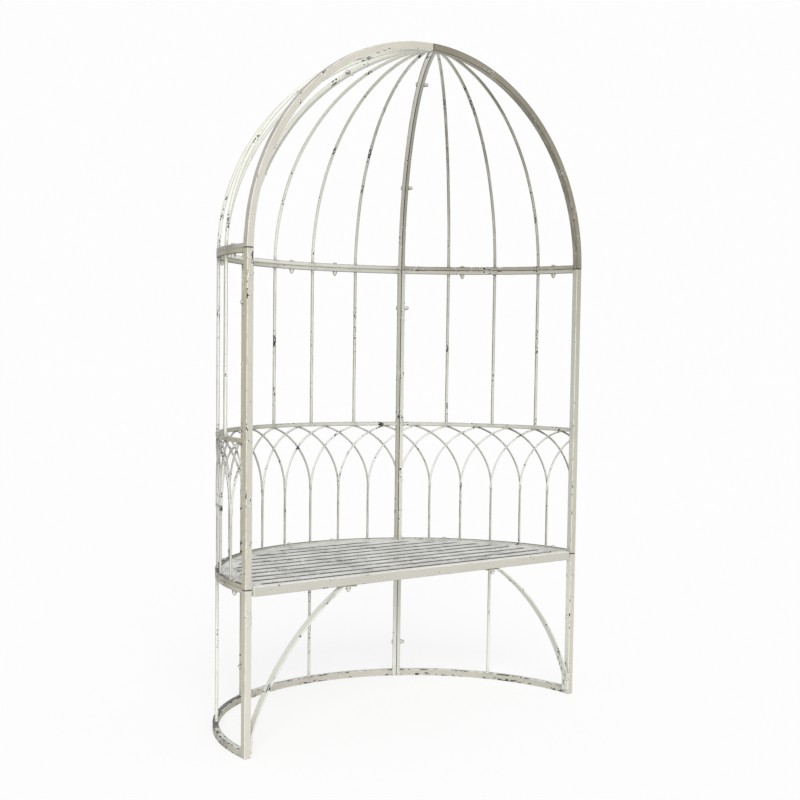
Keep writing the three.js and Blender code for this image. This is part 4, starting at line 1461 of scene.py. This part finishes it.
@dataclass
class DomePanel(Panel):
    """A panel of the dome: ring rail, ribs at the seams, bowed rods and, at a side, half the arch.

    Attributes:
        rib_width: Width of a rib along the wall.
        rib_corner: Radius of its corners.
        seam_offset: How far from the crown's middle the ribs end.
        rod_offset: How far from it a side panel's rods end.
        rod_shares: Where the rods are, as shares of the panel's angle.
        crown_spot: Half sizes of the welds at the crown.
        arch_reach: How far behind the arch a side panel's welds lie.
        end_reach: How far past the end of a rib or rod the back panel's lie.
    """

    tier: str = "dome"
    rib_width: float = 10 * MM
    rib_corner: float = 1.4 * MM
    seam_offset: float = 11 * MM
    rod_offset: float = 18 * MM
    rod_shares: tuple[float, ...] = (0.25, 0.5, 0.75)
    crown_spot: Triple = (6.5 * MM, 5 * MM, 2.4 * MM)
    arch_reach: float = 2 * MM
    end_reach: float = 3 * MM

    def shape(self) -> "DomePanel":
        """Makes the panel's surfaces."""
        self.rail(PLAN.dome_bottom, mate=-1)
        if self.span.at_leg:
            self.arch()
        else:
            self.rib(self.span.start, 1)
        self.rib(self.span.end, -1)
        for share in self.rod_shares:
            self.bowed_rod(self.span.at(share))
        return self

    @property
    def end_depth(self) -> float:
        """Where the ribs and rods end: inside the arch, or just behind it on the back panel."""
        return PLAN.leg / 4 if self.span.at_leg else PLAN.leg / 2 + PLAN.gap

    def cut_off(self, surface: Surface) -> Surface:
        """On the back panel, moves what would pass the plane behind the arch back onto it."""
        return surface if self.span.at_leg else surface.behind(self.end_depth)

    def rib(self, seam: float, side: int) -> None:
        """A rectangular rib beside a seam, deeper than it is wide.

        Args:
            seam: Plan angle of the seam.
            side: -1 on the seam's right and 1 on its left.
        """
        arc = DomeArc(seam, math.copysign(self.seam_offset, math.cos(seam)))
        turns = np.linspace(0.0, arc.turn_at_depth(self.end_depth), 90)
        places = arc.points(turns) - side * (PLAN.gap + self.rib_width) / 2 * arc.sideways
        path = path_through(places, arc.sideways)
        outline = square_outline(self.rib_width, PLAN.rail, self.rib_corner)
        # Painted shade and dirt on the side against the next panel's rib.
        self.frame.add(self.cut_off(carried(outline, path).with_gap_dirt_and_shade(outline, GapDirtAndShade((side, 0.0)))))
        self.crown_weld(places[-1], arc.outwards)

    def bowed_rod(self, angle: float) -> None:
        """A round rod from the ring rail to the crown."""
        arc = DomeArc(angle, self.rod_offset if self.span.at_leg else 0.0)
        start = math.asin((PLAN.rail - PLAN.bite) / PLAN.wall)
        turns = np.linspace(start, arc.turn_at_depth(self.end_depth), 90)
        path = path_through(arc.points(turns), arc.sideways)
        outline = round_outline(PLAN.rod)
        self.rods.add(self.cut_off(carried(outline, path)))
        self.rod_weld(outline, angle, PLAN.dome_bottom + PLAN.rail, angle * 9)
        self.crown_weld(path.places[-1], arc.outwards)

    def crown_weld(self, end: np.ndarray, outwards: np.ndarray) -> None:
        """A spot of weld where a rib or rod meets the arch."""
        if self.span.at_leg:
            end = end + outwards * (PLAN.leg / 2 + self.arch_reach - end[1]) / outwards[1]
        else:
            end = end + outwards * self.end_reach
        self.spot(end, np.cross(outwards, UP), UP, self.crown_spot)

    def arch(self) -> None:
        """Half of the front arch: a square tube round the ring's centre in the front plane."""
        radius = PLAN.leg_middle
        turns = np.linspace(0.0, math.pi / 2 - math.asin(PLAN.gap / 2 / radius), 120)
        places = vectors(radius * np.cos(turns), 0.0, PLAN.dome_bottom + radius * np.sin(turns))
        # Painted shade on the right half of the arch, warm painted light on the left half's front face.
        tone = Tone.TAUPE if self.place is Place.RIGHT else Tone.BLUSH
        outline = square_outline(PLAN.leg, PLAN.leg, TUBE_CORNER)
        made = carried(outline, path_through(places, BACKWARDS), tone, chamfer=TUBE_BEVEL)
        # Painted shade and dirt at the arch's ends.
        self.frame.add(made.with_gap_dirt_and_shade(outline, ends=(True, True)))


# Seat and braces


@dataclass
class Seat:
    """The welded seat: apron tube, flat rim, slats and the studs that hold the braces.

    The rim is as thick as the slats and has the same corners. It clears the wall, the apron
    clears the legs, and the slats lie lower than the rim by their drop.
    """

    slat_thickness: float = 7 * MM
    slat_width: float = 40 * MM
    slat_gap: float = 14 * MM
    slat_corner: float = 1.2 * MM
    slat_drop: float = 0.1 * MM
    rim_width: float = 46 * MM
    rim_clearance: float = 2 * MM
    apron_height: float = 26 * MM
    apron_depth: float = 25 * MM
    apron_end_clearance: float = 7 * MM

    def __post_init__(self) -> None:
        """Works out the places that follow from the sizes."""
        leg_inner = PLAN.half_width - PLAN.leg
        self.bottom = PLAN.tall_bottom
        self.top = self.bottom + self.slat_thickness
        self.rim_outer = min(leg_inner, PLAN.wall - PLAN.rail / 2) - self.rim_clearance
        self.rim_inner = self.rim_outer - self.rim_width
        self.half_apron = leg_inner - self.apron_end_clearance
        self.apron_bottom = self.top - self.apron_height
        self.apron_back = -PLAN.leg / 2 + self.apron_depth
        self.apron_middle = self.apron_back - self.apron_depth / 2

    def build(self, paint: bpy.types.Material, slat_paint: bpy.types.Material,
              slot: str) -> list[bpy.types.Object]:
        """Makes the seat's pieces.

        Args:
            paint: The finish of the apron and the studs.
            slat_paint: The finish of what is sat on.
            slot: The record's material slot.

        Returns:
            The pieces.
        """
        parts = [(self.apron, paint), (self.rim, slat_paint), (self.slats, slat_paint), (self.studs, paint)]
        return [dressed(part(), finish, slot, "seat") for part, finish in parts]

    def apron(self) -> Shell:
        """The tube along the front, a millimetre taller than it is deep."""
        middle = np.array([0.0, self.apron_middle, self.top - self.apron_height / 2])
        half = np.array([self.half_apron, 0.0, 0.0])
        outline = square_outline(self.apron_depth, self.apron_height, TUBE_CORNER)
        path = straight(middle - half, middle + half, BACKWARDS)
        # Warm painted light on the apron's front face.
        return Shell("seat_apron").add(carried(outline, path, Tone.BLUSH))

    def rim(self) -> Shell:
        """The flat bar round the back, cut off at the apron's back."""
        radius = (self.rim_inner + self.rim_outer) / 2
        angles = np.linspace(0.0, np.pi, 200)
        places = PLAN.on_wall(angles, self.bottom + self.slat_thickness / 2, radius)
        path = path_through(places, PLAN.outwards(angles))
        outline = square_outline(self.rim_width, self.slat_thickness, self.slat_corner)
        return Shell("seat_rim").add(carried(outline, path).behind(self.apron_back - PLAN.bite))

    def slats(self) -> Shell:
        """The slats, whose ends follow the rim's inner edge.

        A slat's point keeps its share of the half length, and the half length at its depth is
        the rim's inner circle there, a little let in.
        """
        shell = Shell("seat_slats")
        pitch = self.slat_width + self.slat_gap
        first = self.apron_back + self.slat_gap
        count = math.ceil((self.rim_inner - PLAN.bite - first) / pitch)
        for near in first + pitch * np.arange(count):
            far = min(near + self.slat_width, self.rim_inner + PLAN.bite)
            outline = square_outline(far - near, self.slat_thickness, self.slat_corner)
            middle = np.array([0.0, (near + far) / 2, self.bottom + self.slat_thickness / 2])
            unit = np.array([1.0, 0.0, 0.0])
            path = straight(middle - unit, middle + unit, BACKWARDS, spacing=50 * MM)
            surface = carried(outline, path, chamfer=0.0)
            depth = np.minimum(surface.points[..., 1], self.rim_inner)
            half = np.sqrt((self.rim_inner + PLAN.bite) ** 2 - depth ** 2)
            points = surface.points.copy()
            points[..., 0] *= half
            points[..., 2] -= self.slat_drop
            shell.add(replace(surface, points=points, along=surface.along * float(half.max())))
            for side in (-1, 1):
                x = side * math.sqrt(self.rim_inner ** 2 - near ** 2)
                shell.welds.append(np.array([x, near, self.top]))
        return shell

    def studs(self) -> Shell:
        """The studs under the apron, one for each brace."""
        brace = Brace(Place.RIGHT)
        shell = Shell("seat_studs")
        outline = round_outline(Hardware.shank, 20)
        length = brace.thickness + 2 * PLAN.gap + Hardware.nut_grip + PLAN.bite
        for side in (-1, 1):
            top = np.array([side * brace.stud_x, self.apron_middle, self.apron_bottom + PLAN.bite])
            shell.add(carried(outline, straight(top - UP * length, top, BACKWARDS)))
        return shell


@dataclass
class Brace:
    """A bowed flat bar from a front leg to the apron.

    Its foot stands against the leg between two heights. Its bow has the radius given and ends
    at the bend, and the flange goes on from there under the apron. Samples are the places along
    its middle line, and easing is how many on each side are averaged to round a bend.
    """

    place: Place
    thickness: float = 5 * MM
    depth: float = 24 * MM
    corner: float = 0.9 * MM
    foot_bottom: float = 12 * MM
    foot_top: float = 60 * MM
    bend_x: float = 288 * MM
    flange: float = 44 * MM
    radius: float = 735 * MM
    screw_height: float = 38 * MM
    samples: int = 400
    easing: int = 4

    @property
    def stud_x(self) -> float:
        """Distance of the stud from the middle plane."""
        return self.bend_x - self.flange / 2

    @property
    def foot_middle(self) -> float:
        """Middle of the bar where it stands against the leg."""
        return PLAN.half_width - PLAN.leg - PLAN.gap - self.thickness / 2

    @property
    def flange_middle(self) -> float:
        """Height of the middle of the bar under the apron."""
        return Seat().apron_bottom - PLAN.gap - self.thickness / 2

    def middle_line(self) -> np.ndarray:
        """The bar's middle line in its plane: foot, bow and flange, with the two bends eased.

        The bow is an arc of the given radius through both bends. The line is sampled evenly and
        then averaged over a short stretch, which rounds the bends and leaves the rest as it is,
        and every third place is kept.

        Returns:
            Distance from the middle plane and height of each place, (places, 2).
        """
        foot = np.array([self.foot_middle, self.foot_top])
        bend = np.array([self.bend_x, self.flange_middle])
        chord = bend - foot
        inward = np.array([-chord[1], chord[0]]) / np.linalg.norm(chord)
        centre = foot + chord / 2 + inward * math.sqrt(self.radius ** 2 - (chord @ chord) / 4)
        first, last = (math.atan2(*(p - centre)[::-1]) for p in (foot, bend))
        bow = centre + self.radius * on_circle(np.linspace(first, last, self.samples))
        start = [[self.foot_middle, self.foot_bottom]]
        end = [[self.bend_x - self.flange, self.flange_middle]]
        line = np.concatenate([start, bow, end])
        lengths = reached(line)
        even = np.linspace(0, lengths[-1], self.samples)
        line = np.stack([np.interp(even, lengths, part) for part in line.T], axis=1)
        window = 2 * self.easing + 1
        padded = np.pad(line, ((self.easing, self.easing), (0, 0)), mode="edge")
        eased = np.stack([np.convolve(part, np.ones(window) / window, mode="valid") for part in padded.T], axis=1)
        kept = 2 * self.easing
        eased[:kept], eased[-kept:] = line[:kept], line[-kept:]
        return eased[::3]

    def build(self, paint: bpy.types.Material, slot: str) -> bpy.types.Object:
        """Makes the brace.

        Args:
            paint: The finish.
            slot: The record's material slot.

        Returns:
            The piece.
        """
        line = self.middle_line()
        path = path_through(vectors(line[:, 0], Seat().apron_middle, line[:, 1]), BACKWARDS)
        outline = square_outline(self.depth, self.thickness, self.corner)
        # Painted shade and dirt in the gap where the flange lies under the apron.
        surface = carried(outline, path).with_gap_dirt_and_shade(outline, GapDirtAndShade((0.0, -1.0), width=2 * MM))
        under_apron = surface.points[..., 0] < self.bend_x - self.thickness
        surface = replace(surface, gap_dirt_and_shade=surface.gap_dirt_and_shade * under_apron)
        if self.place is Place.LEFT:
            surface = surface.mirrored()
        node = f"brace_{self.place.value}"
        return dressed(Shell(f"{node}_bar").add(surface), paint, slot, node)


# Fasteners


@dataclass(frozen=True)
class Fastener:
    """Where a bolt, nut or screw of the right half is.

    Attributes:
        name: Start of its node's name.
        middle: Middle of what it clamps.
        head: The way to its head.
        grip: Thickness of what it clamps.
    """

    name: str
    middle: np.ndarray
    head: np.ndarray
    grip: float

    def on(self, place: Place) -> "Fastener":
        """The same on a side: itself on the right and its mirror image on the left."""
        if place is Place.RIGHT:
            return self
        return replace(self, middle=self.middle * MIRROR, head=self.head * MIRROR)


@dataclass(frozen=True)
class Hardware:
    """The round-headed bolts, the cap nuts and the braces' screws.

    By their coats of paint, the nuts are 1.2 mm wider and 1.5 mm taller than the CAD model's.

    Attributes:
        shank: Diameter of every shank.
        head: Diameter of a bolt's head.
        head_height: Its height.
        nut_corners: Width of a nut across its corners.
        nut_height: Height of its hexagon.
        cap: Diameter of its cap.
        cap_height: Height of its cap.
        nut_grip: How far a shank goes into its nut.
        screw_grip: How far a screw goes into the leg.
        low_height: Height of the low tier's seam bolts.
        tall_drop: How far below the ring the tall tier's seam bolts are.
        dome_rises: Turns of the dome's seam bolts along their seam, in degrees.
        rail_angles: Plan angles of the bolts at seat height, in degrees.
        ring_angles: Plan angles of the bolts at the ring, in degrees.
    """

    shank: float = 6 * MM
    head: float = 14 * MM
    head_height: float = 4 * MM
    nut_corners: float = 14.2 * MM
    nut_height: float = 5.6 * MM
    cap: float = 11.6 * MM
    cap_height: float = 8.4 * MM
    nut_grip: float = 6 * MM
    screw_grip: float = 12 * MM
    low_height: float = 113 * MM
    tall_drop: float = 124 * MM
    dome_rises: tuple[float, ...] = (26, 65)
    rail_angles: tuple[float, ...] = (7.2, 45, 82)
    ring_angles: tuple[float, ...] = (9.3, 40.6, 82)

    def bolt(self, at: Fastener, reach: float) -> Surface:
        """A low round head on a plain shank.

        The head's profile is a quarter of a superellipse: its radius is the cosine of a rising
        angle to the power 0.7 and its height the sine of it, so that the rim is steep.

        Args:
            at: Where it is.
            reach: How far its shank goes on past what it clamps.

        Returns:
            The surface.
        """
        length = at.grip + 2 * PLAN.gap + reach
        shank, head = self.shank / 2, self.head / 2
        low = [[shank * 0.8, -length], [shank, -length + 0.6 * MM], [shank, 0.0], [head - 0.3 * MM, 0.0]]
        rise = np.linspace(0.0, 0.96, 9) * np.pi / 2
        crown = np.stack([head * np.cos(rise) ** 0.7, self.head_height * (0.12 + 0.88 * np.sin(rise))], axis=1)
        centre = at.middle + at.head * (at.grip / 2 + PLAN.gap)
        return turned(np.concatenate([low, crown]), centre, at.head)

    def nut(self, at: Fastener) -> Surface:
        """A cap nut: a hexagon with bevelled corners and a round cap, its bore open to the shank.

        The cap's profile is a quarter ellipse: cosine across and sine along.

        Args:
            at: Where its bolt is.

        Returns:
            The surface.
        """
        rise = np.linspace(0.0, 0.95, 8) * np.pi / 2
        cap = np.stack([self.cap / 2 * np.cos(rise), self.nut_height + self.cap_height * np.sin(rise)], axis=1)
        corner, bevel = self.nut_corners / 2, 0.5 * MM
        drawn_in = corner - 0.7 * MM
        body = [
            [self.shank / 2 + PLAN.gap, 0.0],
            [drawn_in, 0.0],
            [corner, bevel],
            [corner, self.nut_height - bevel],
            [drawn_in, self.nut_height],
            [self.cap / 2 + 0.2 * MM, self.nut_height],
        ]
        flats = np.array([0, 0, 1, 1, 0, 0] + [0] * len(cap))
        centre = at.middle - at.head * (at.grip / 2 + PLAN.gap)
        return turned(np.concatenate([body, cap]), centre, -at.head, flats)

    def bolted(self) -> list[Fastener]:
        """Every bolted place of the right half: seam bolts, then those through the rails."""
        grip = 2 * PLAN.rail + PLAN.gap
        seam = PLAN.panel_angle
        along = PLAN.sideways(seam)
        found = [Fastener("low_seam", PLAN.on_wall(seam, self.low_height), along, grip),
                 Fastener("tall_seam", PLAN.on_wall(seam, PLAN.ring_height - self.tall_drop), along, grip)]
        dome = DomeArc(seam, DomePanel.seam_offset)
        ribs = 2 * DomePanel.rib_width + PLAN.gap
        for i, rise in enumerate(self.dome_rises, 1):
            found.append(Fastener(f"dome_seam_{i}", dome.points(math.radians(rise)), -dome.sideways, ribs))
        for name, height, angles in (("seat_rail", PLAN.seam_height, self.rail_angles),
                                     ("ring", PLAN.ring_height, self.ring_angles)):
            for i, angle in enumerate(angles, 1):
                found.append(Fastener(f"{name}_{i}", PLAN.on_wall(math.radians(angle), height), UP, grip))
        return found

    def build(self, paint: bpy.types.Material, slot: str) -> None:
        """Makes every bolt, nut and screw as a piece of its own.

        Args:
            paint: The finish.
            slot: The record's material slot.
        """
        brace = Brace(Place.RIGHT)
        stud = np.array([brace.stud_x, Seat().apron_middle, brace.flange_middle])
        foot = np.array([brace.foot_middle, 0.0, brace.screw_height])
        flange = Fastener("brace", stud, UP, brace.thickness)
        screw = Fastener("brace", foot, np.array([-1.0, 0.0, 0.0]), brace.thickness)
        for place in (Place.RIGHT, Place.LEFT):
            side = place.value
            made: dict[str, Surface] = {}
            for right in self.bolted():
                made[f"{right.name}_{side}_bolt"] = self.bolt(right.on(place), self.nut_grip)
                made[f"{right.name}_{side}_nut"] = self.nut(right.on(place))
            made[f"brace_nut_{side}"] = self.nut(flange.on(place))
            made[f"brace_screw_{side}"] = self.bolt(screw.on(place), self.screw_grip)
            for node, surface in made.items():
                dressed(Shell(f"{node}_round").add(surface), paint, slot, node)


# Stage


@dataclass(frozen=True)
class Studio:
    """Plain pale floor, soft light and the photograph's camera.

    Attributes:
        pale: Brightness of the floor and backdrop as the camera sees them.
        sky: Strength of the light from all round.
        sun: Strength of the soft light from the front and above.
        sun_from: Direction to that light.
        sun_size: Angle that it fills.
        floor_colour: How much light the floor gives back to the object.
        bounce: Light that the floor adds from below, for the object only.
        floor_radius: Radius of the floor.
        eye: Where the camera is.
        yaw, pitch, roll: How it is turned.
        focal_pixels: Its focal length in pixels.
        middle_pixel: Where its axis meets the frame, from the left and the top.
        frame_pixels: Width and height of the frame.
        sensor: Width of its sensor in millimetres.
    """

    pale: float = 0.985
    sky: float = 0.6
    sun: float = 1.8
    sun_from: Triple = (-0.44, -0.76, 0.48)
    sun_size: float = math.radians(35)
    floor_colour: float = 0.3
    bounce: float = 0.5
    floor_radius: float = 60.0
    eye: Triple = (-2.486752, -3.414216, 1.094357)
    yaw: float = math.radians(39.2768)
    pitch: float = math.radians(3.8539)
    roll: float = math.radians(0.889)
    focal_pixels: float = 1387.146
    middle_pixel: tuple[float, float] = (442.77, 440.85)
    frame_pixels: float = 800.0
    sensor: float = 36.0

    def strength(self, w: Wiring, seen: float, other: float) -> Socket:
        """One strength for rays from the camera, by reflection or through glass, and another for the rest."""
        path = w.node("LightPath").outputs
        direct = w.most(w.most(path["Is Camera Ray"], path["Is Glossy Ray"]), path["Is Transmission Ray"])
        return w.node("Mix", {0: direct, 2: other, 3: seen}, data_type="FLOAT").outputs[0]

    def floor(self) -> bpy.types.Object:
        """A large disc whose lit brightness is made up to the backdrop's for the camera."""
        sides = 96
        turns = np.arange(sides) * 2 * np.pi / sides
        mesh = bpy.data.meshes.new("floor")
        mesh.from_pydata(PLAN.on_wall(turns, -0.5 * MM, self.floor_radius), [], [list(range(sides))])
        w = Wiring(bpy.data.materials.new("floor_pale"))
        lit = self.floor_colour * (self.sky + self.sun / math.pi * self.sun_from[2])
        diffuse = w.node("BsdfDiffuse", {"Color": (*[self.floor_colour] * 3, 1.0)})
        glow = w.node("Emission", {"Strength": self.strength(w, self.pale - lit, self.bounce)})
        both = w.node("AddShader", {0: diffuse.outputs[0], 1: glow.outputs[0]})
        w.node("OutputMaterial", {"Surface": both.outputs[0]})
        mesh.materials.append(w.owner)
        made = placed("floor", mesh)
        return made

    def light(self) -> None:
        """An even sky and one soft sun."""
        w = Wiring(bpy.data.worlds.new("studio"))
        white = (1.0, 1.0, 1.0, 1.0)
        sky = w.node("Background", {"Color": white, "Strength": self.strength(w, self.pale, self.sky)})
        w.node("OutputWorld", {"Surface": sky.outputs[0]})
        bpy.context.scene.world = w.owner
        lamp = bpy.data.lights.new("sun", "SUN")
        lamp.energy = self.sun
        lamp.angle = self.sun_size
        axes = self.facing(np.array(self.sun_from))
        placed("sun", lamp).rotation_euler = Matrix(axes.tolist()).to_euler()

    @staticmethod
    def facing(back: np.ndarray) -> np.ndarray:
        """Axes of something that looks away from the given direction."""
        back = back / np.linalg.norm(back)
        right = np.cross(BACKWARDS, back)
        right /= np.linalg.norm(right)
        return np.stack([right, np.cross(back, right), back], axis=1)

    def camera(self) -> None:
        """The photograph's camera: turned by yaw, pitch and roll, its middle shifted to the frame's."""
        yaw, pitch, roll = self.yaw, self.pitch, self.roll
        level = math.cos(pitch)
        ahead = np.array([math.sin(yaw) * level, math.cos(yaw) * level, -math.sin(pitch)])
        right = np.array([math.cos(yaw), -math.sin(yaw), 0.0])
        above = np.cross(right, ahead)
        axes = np.stack([right * math.cos(roll) + above * math.sin(roll),
                         above * math.cos(roll) - right * math.sin(roll), -ahead], axis=1)
        data = bpy.data.cameras.new("camera")
        data.sensor_width = self.sensor
        data.lens = self.focal_pixels / self.frame_pixels * self.sensor
        half = self.frame_pixels / 2
        data.shift_x = (half - self.middle_pixel[0]) / self.frame_pixels
        data.shift_y = (self.middle_pixel[1] - half) / self.frame_pixels
        data.clip_end = 500.0
        made = placed("camera", data)
        made.matrix_world = Matrix.Translation(self.eye) @ Matrix(axes.tolist()).to_4x4()
        bpy.context.scene.camera = made


def frame_finishes(cream: OldPaint) -> dict[str, dict[Place, OldPaint]]:
    """The finishes of the nine panels' frames: lit and shaded copies of one cream, whose painted light and shade
    differ by tier and panel.

    Args:
        cream: The finish that they vary.

    Returns:
        The finishes by tier and place.
    """
    # The tall tier's upward faces in a darker painted shade.
    tall = replace(cream, top=(0.52, 0.52, 0.475))
    # The dome's lower and right faces painted lighter, as lit from below, with little painted shade on its lower
    # corners.
    dome = replace(cream, under=(0.92, 0.915, 0.83), away=(0.88, 0.87, 0.78), low_lines=0.15)
    return {
        "low": {
            Place.LEFT: replace(cream, name="low_frame_left", left=(0.54, 0.52, 0.42), blush=(0.67, 0.64, 0.56)),
            # The low back and right panels get lighter colours: painted light where the seat's shadow falls on
            # them.
            Place.BACK: replace(cream, name="low_frame_back", front=(0.84, 0.835, 0.76),
                                left=(0.74, 0.73, 0.64), away=(0.66, 0.65, 0.56)),
            Place.RIGHT: replace(cream, name="low_frame_right", front=(0.72, 0.715, 0.645),
                                 left=(0.80, 0.795, 0.715), chips=0.25, corner_chips=0.5),
        },
        "tall": {
            # Deeper painted shade on the left panel's left faces, and lighter on the right panel's.
            Place.LEFT: replace(tall, name="frame_left", left=(0.46, 0.435, 0.31)),
            Place.BACK: tall,
            Place.RIGHT: replace(tall, name="frame_right", left=(0.62, 0.61, 0.535), blush=(0.52, 0.505, 0.42)),
        },
        "dome": {
            # Painted shade on the left dome panel's left faces, also where they look to the front, and on its
            # tops.
            Place.LEFT: replace(dome, name="dome_left", front=(0.76, 0.755, 0.67), left=(0.38, 0.35, 0.32),
                                left_ahead=1.0, top=(0.40, 0.365, 0.335)),
            # More painted shade high up on the right for the back and right dome panels, the right one also on
            # its members toned taupe.
            Place.BACK: replace(dome, name="dome_back", front=(0.74, 0.735, 0.66), painted_shade=0.7),
            Place.RIGHT: replace(cream, name="dome_right", painted_shade=0.85, toned=0.95, taupe=(0.205, 0.18, 0.13)),
        },
    }


def main() -> None:
    """Builds the stage and every piece in order."""
    logging.basicConfig(level=logging.INFO, format="%(message)s")
    bpy.context.scene.view_settings.view_transform = "Standard"
    studio = Studio()
    studio.camera()
    studio.light()
    studio.floor()

    cream = OldPaint("frame_cream", corner_chips=0.38)
    frames = frame_finishes(cream)
    # Rods: painted shade on the right faces, on the side that looks back to the left and on the flanks.
    rods = replace(cream, name="rod_cream", front=(0.74, 0.74, 0.67), away=(0.46, 0.45, 0.36), chips=0.9,
                   chip_grain=(110.0, 200.0), rubbing=0.7, lined=0.85, line_limits=(0.42, 0.75), toned=0.25,
                   taupe=(0.21, 0.205, 0.18), flanks=0.5)
    # A lighter copy for the left tall panel's rods, with more painted light and less painted shade.
    left_rods = replace(rods, name="rod_pale", front=(0.88, 0.88, 0.81), left=(0.72, 0.71, 0.62),
                        away=(0.58, 0.57, 0.48), lined=0.6, flanks=0.3)
    base = replace(cream, name="base_worn", front=(0.62, 0.59, 0.52), left=(0.53, 0.52, 0.44),
                   worn_and_shaded=(0.02, 0.018, 0.015), top_wear=0.8, wear_grain=(24.0, 130.0), chips=0.6,
                   corner_chips=0.92, ground_chips=0.7, ridges=0.3, ridge_from=0.42,
                   patch=Patch(-0.50, 0.15, 0.26))
    # A lighter copy for the rods under the seat: painted light where the seat's shadow falls on them.
    low_rods = replace(rods, name="low_rod", front=(0.90, 0.90, 0.83), left=(0.80, 0.80, 0.70),
                       away=(0.74, 0.73, 0.63), chips=0.65, lined=0.3, flanks=0.2)
    # A lighter copy for the dome's rods, painted as lit from below, with painted shade on the flanks where the
    # painted shade is.
    dome_rods = replace(rods, name="dome_rod", front=(0.86, 0.86, 0.77), left=(0.72, 0.72, 0.63),
                        away=(0.79, 0.79, 0.68), under=(0.84, 0.84, 0.74), top=(0.80, 0.80, 0.73), rubbing=0.4,
                        painted_shade=0.85, taupe=(0.26, 0.245, 0.19), flanks=1.0, fade=0.85)
    # The slats' front faces get painted shade and dirt, as in the gaps between the slats.
    bench = replace(cream, name="slats_worn", top=(0.86, 0.865, 0.84), top_wear=0.8, front_dirt_and_shade=0.95, chips=0.7,
                    ridges=0.0, painted_shade=0.0)
    apron = replace(cream, name="apron_cream", blush=(0.56, 0.54, 0.48), chips=0.3, rubbing=0.2)
    brace = replace(cream, name="brace_pale", front=(0.72, 0.735, 0.66), left=(0.70, 0.715, 0.64),
                    under=(0.68, 0.69, 0.61), away=(0.60, 0.61, 0.52), chips=0.8, corner_chips=0.6)
    # Fasteners: painted shade on their flanks.
    small = replace(cream, name="fastener_cream", front=(0.78, 0.78, 0.72), left=(0.70, 0.70, 0.62), chips=0.6,
                    rubbing=0.8, flanks=0.9, flank_limits=(0.5, 0.85), roughness=0.35)
    rod_paint, low_rod_paint = rods.material(), low_rods.material()
    left_rod_paint, dome_rod_paint = left_rods.material(), dome_rods.material()
    base_paint = base.material()
    for place in Place:
        low, tall, dome = (frames[tier][place] for tier in ("low", "tall", "dome"))
        tall_rod_paint = left_rod_paint if place is Place.LEFT else rod_paint
        LowPanel(place).shape().build(low.material(), low_rod_paint, "cage_paint", base_paint)
        TallPanel(place).shape().build(tall.material(), tall_rod_paint, "cage_paint")
        DomePanel(place).shape().build(dome.material(), dome_rod_paint, "dome_paint")
    Seat().build(apron.material(), bench.material(), "seat_paint")
    brace_paint = brace.material()
    for place in (Place.RIGHT, Place.LEFT):
        Brace(place).build(brace_paint, "cage_paint")
    Hardware().build(small.material(), "fastener_paint")


if __name__ == "__main__":
    main()
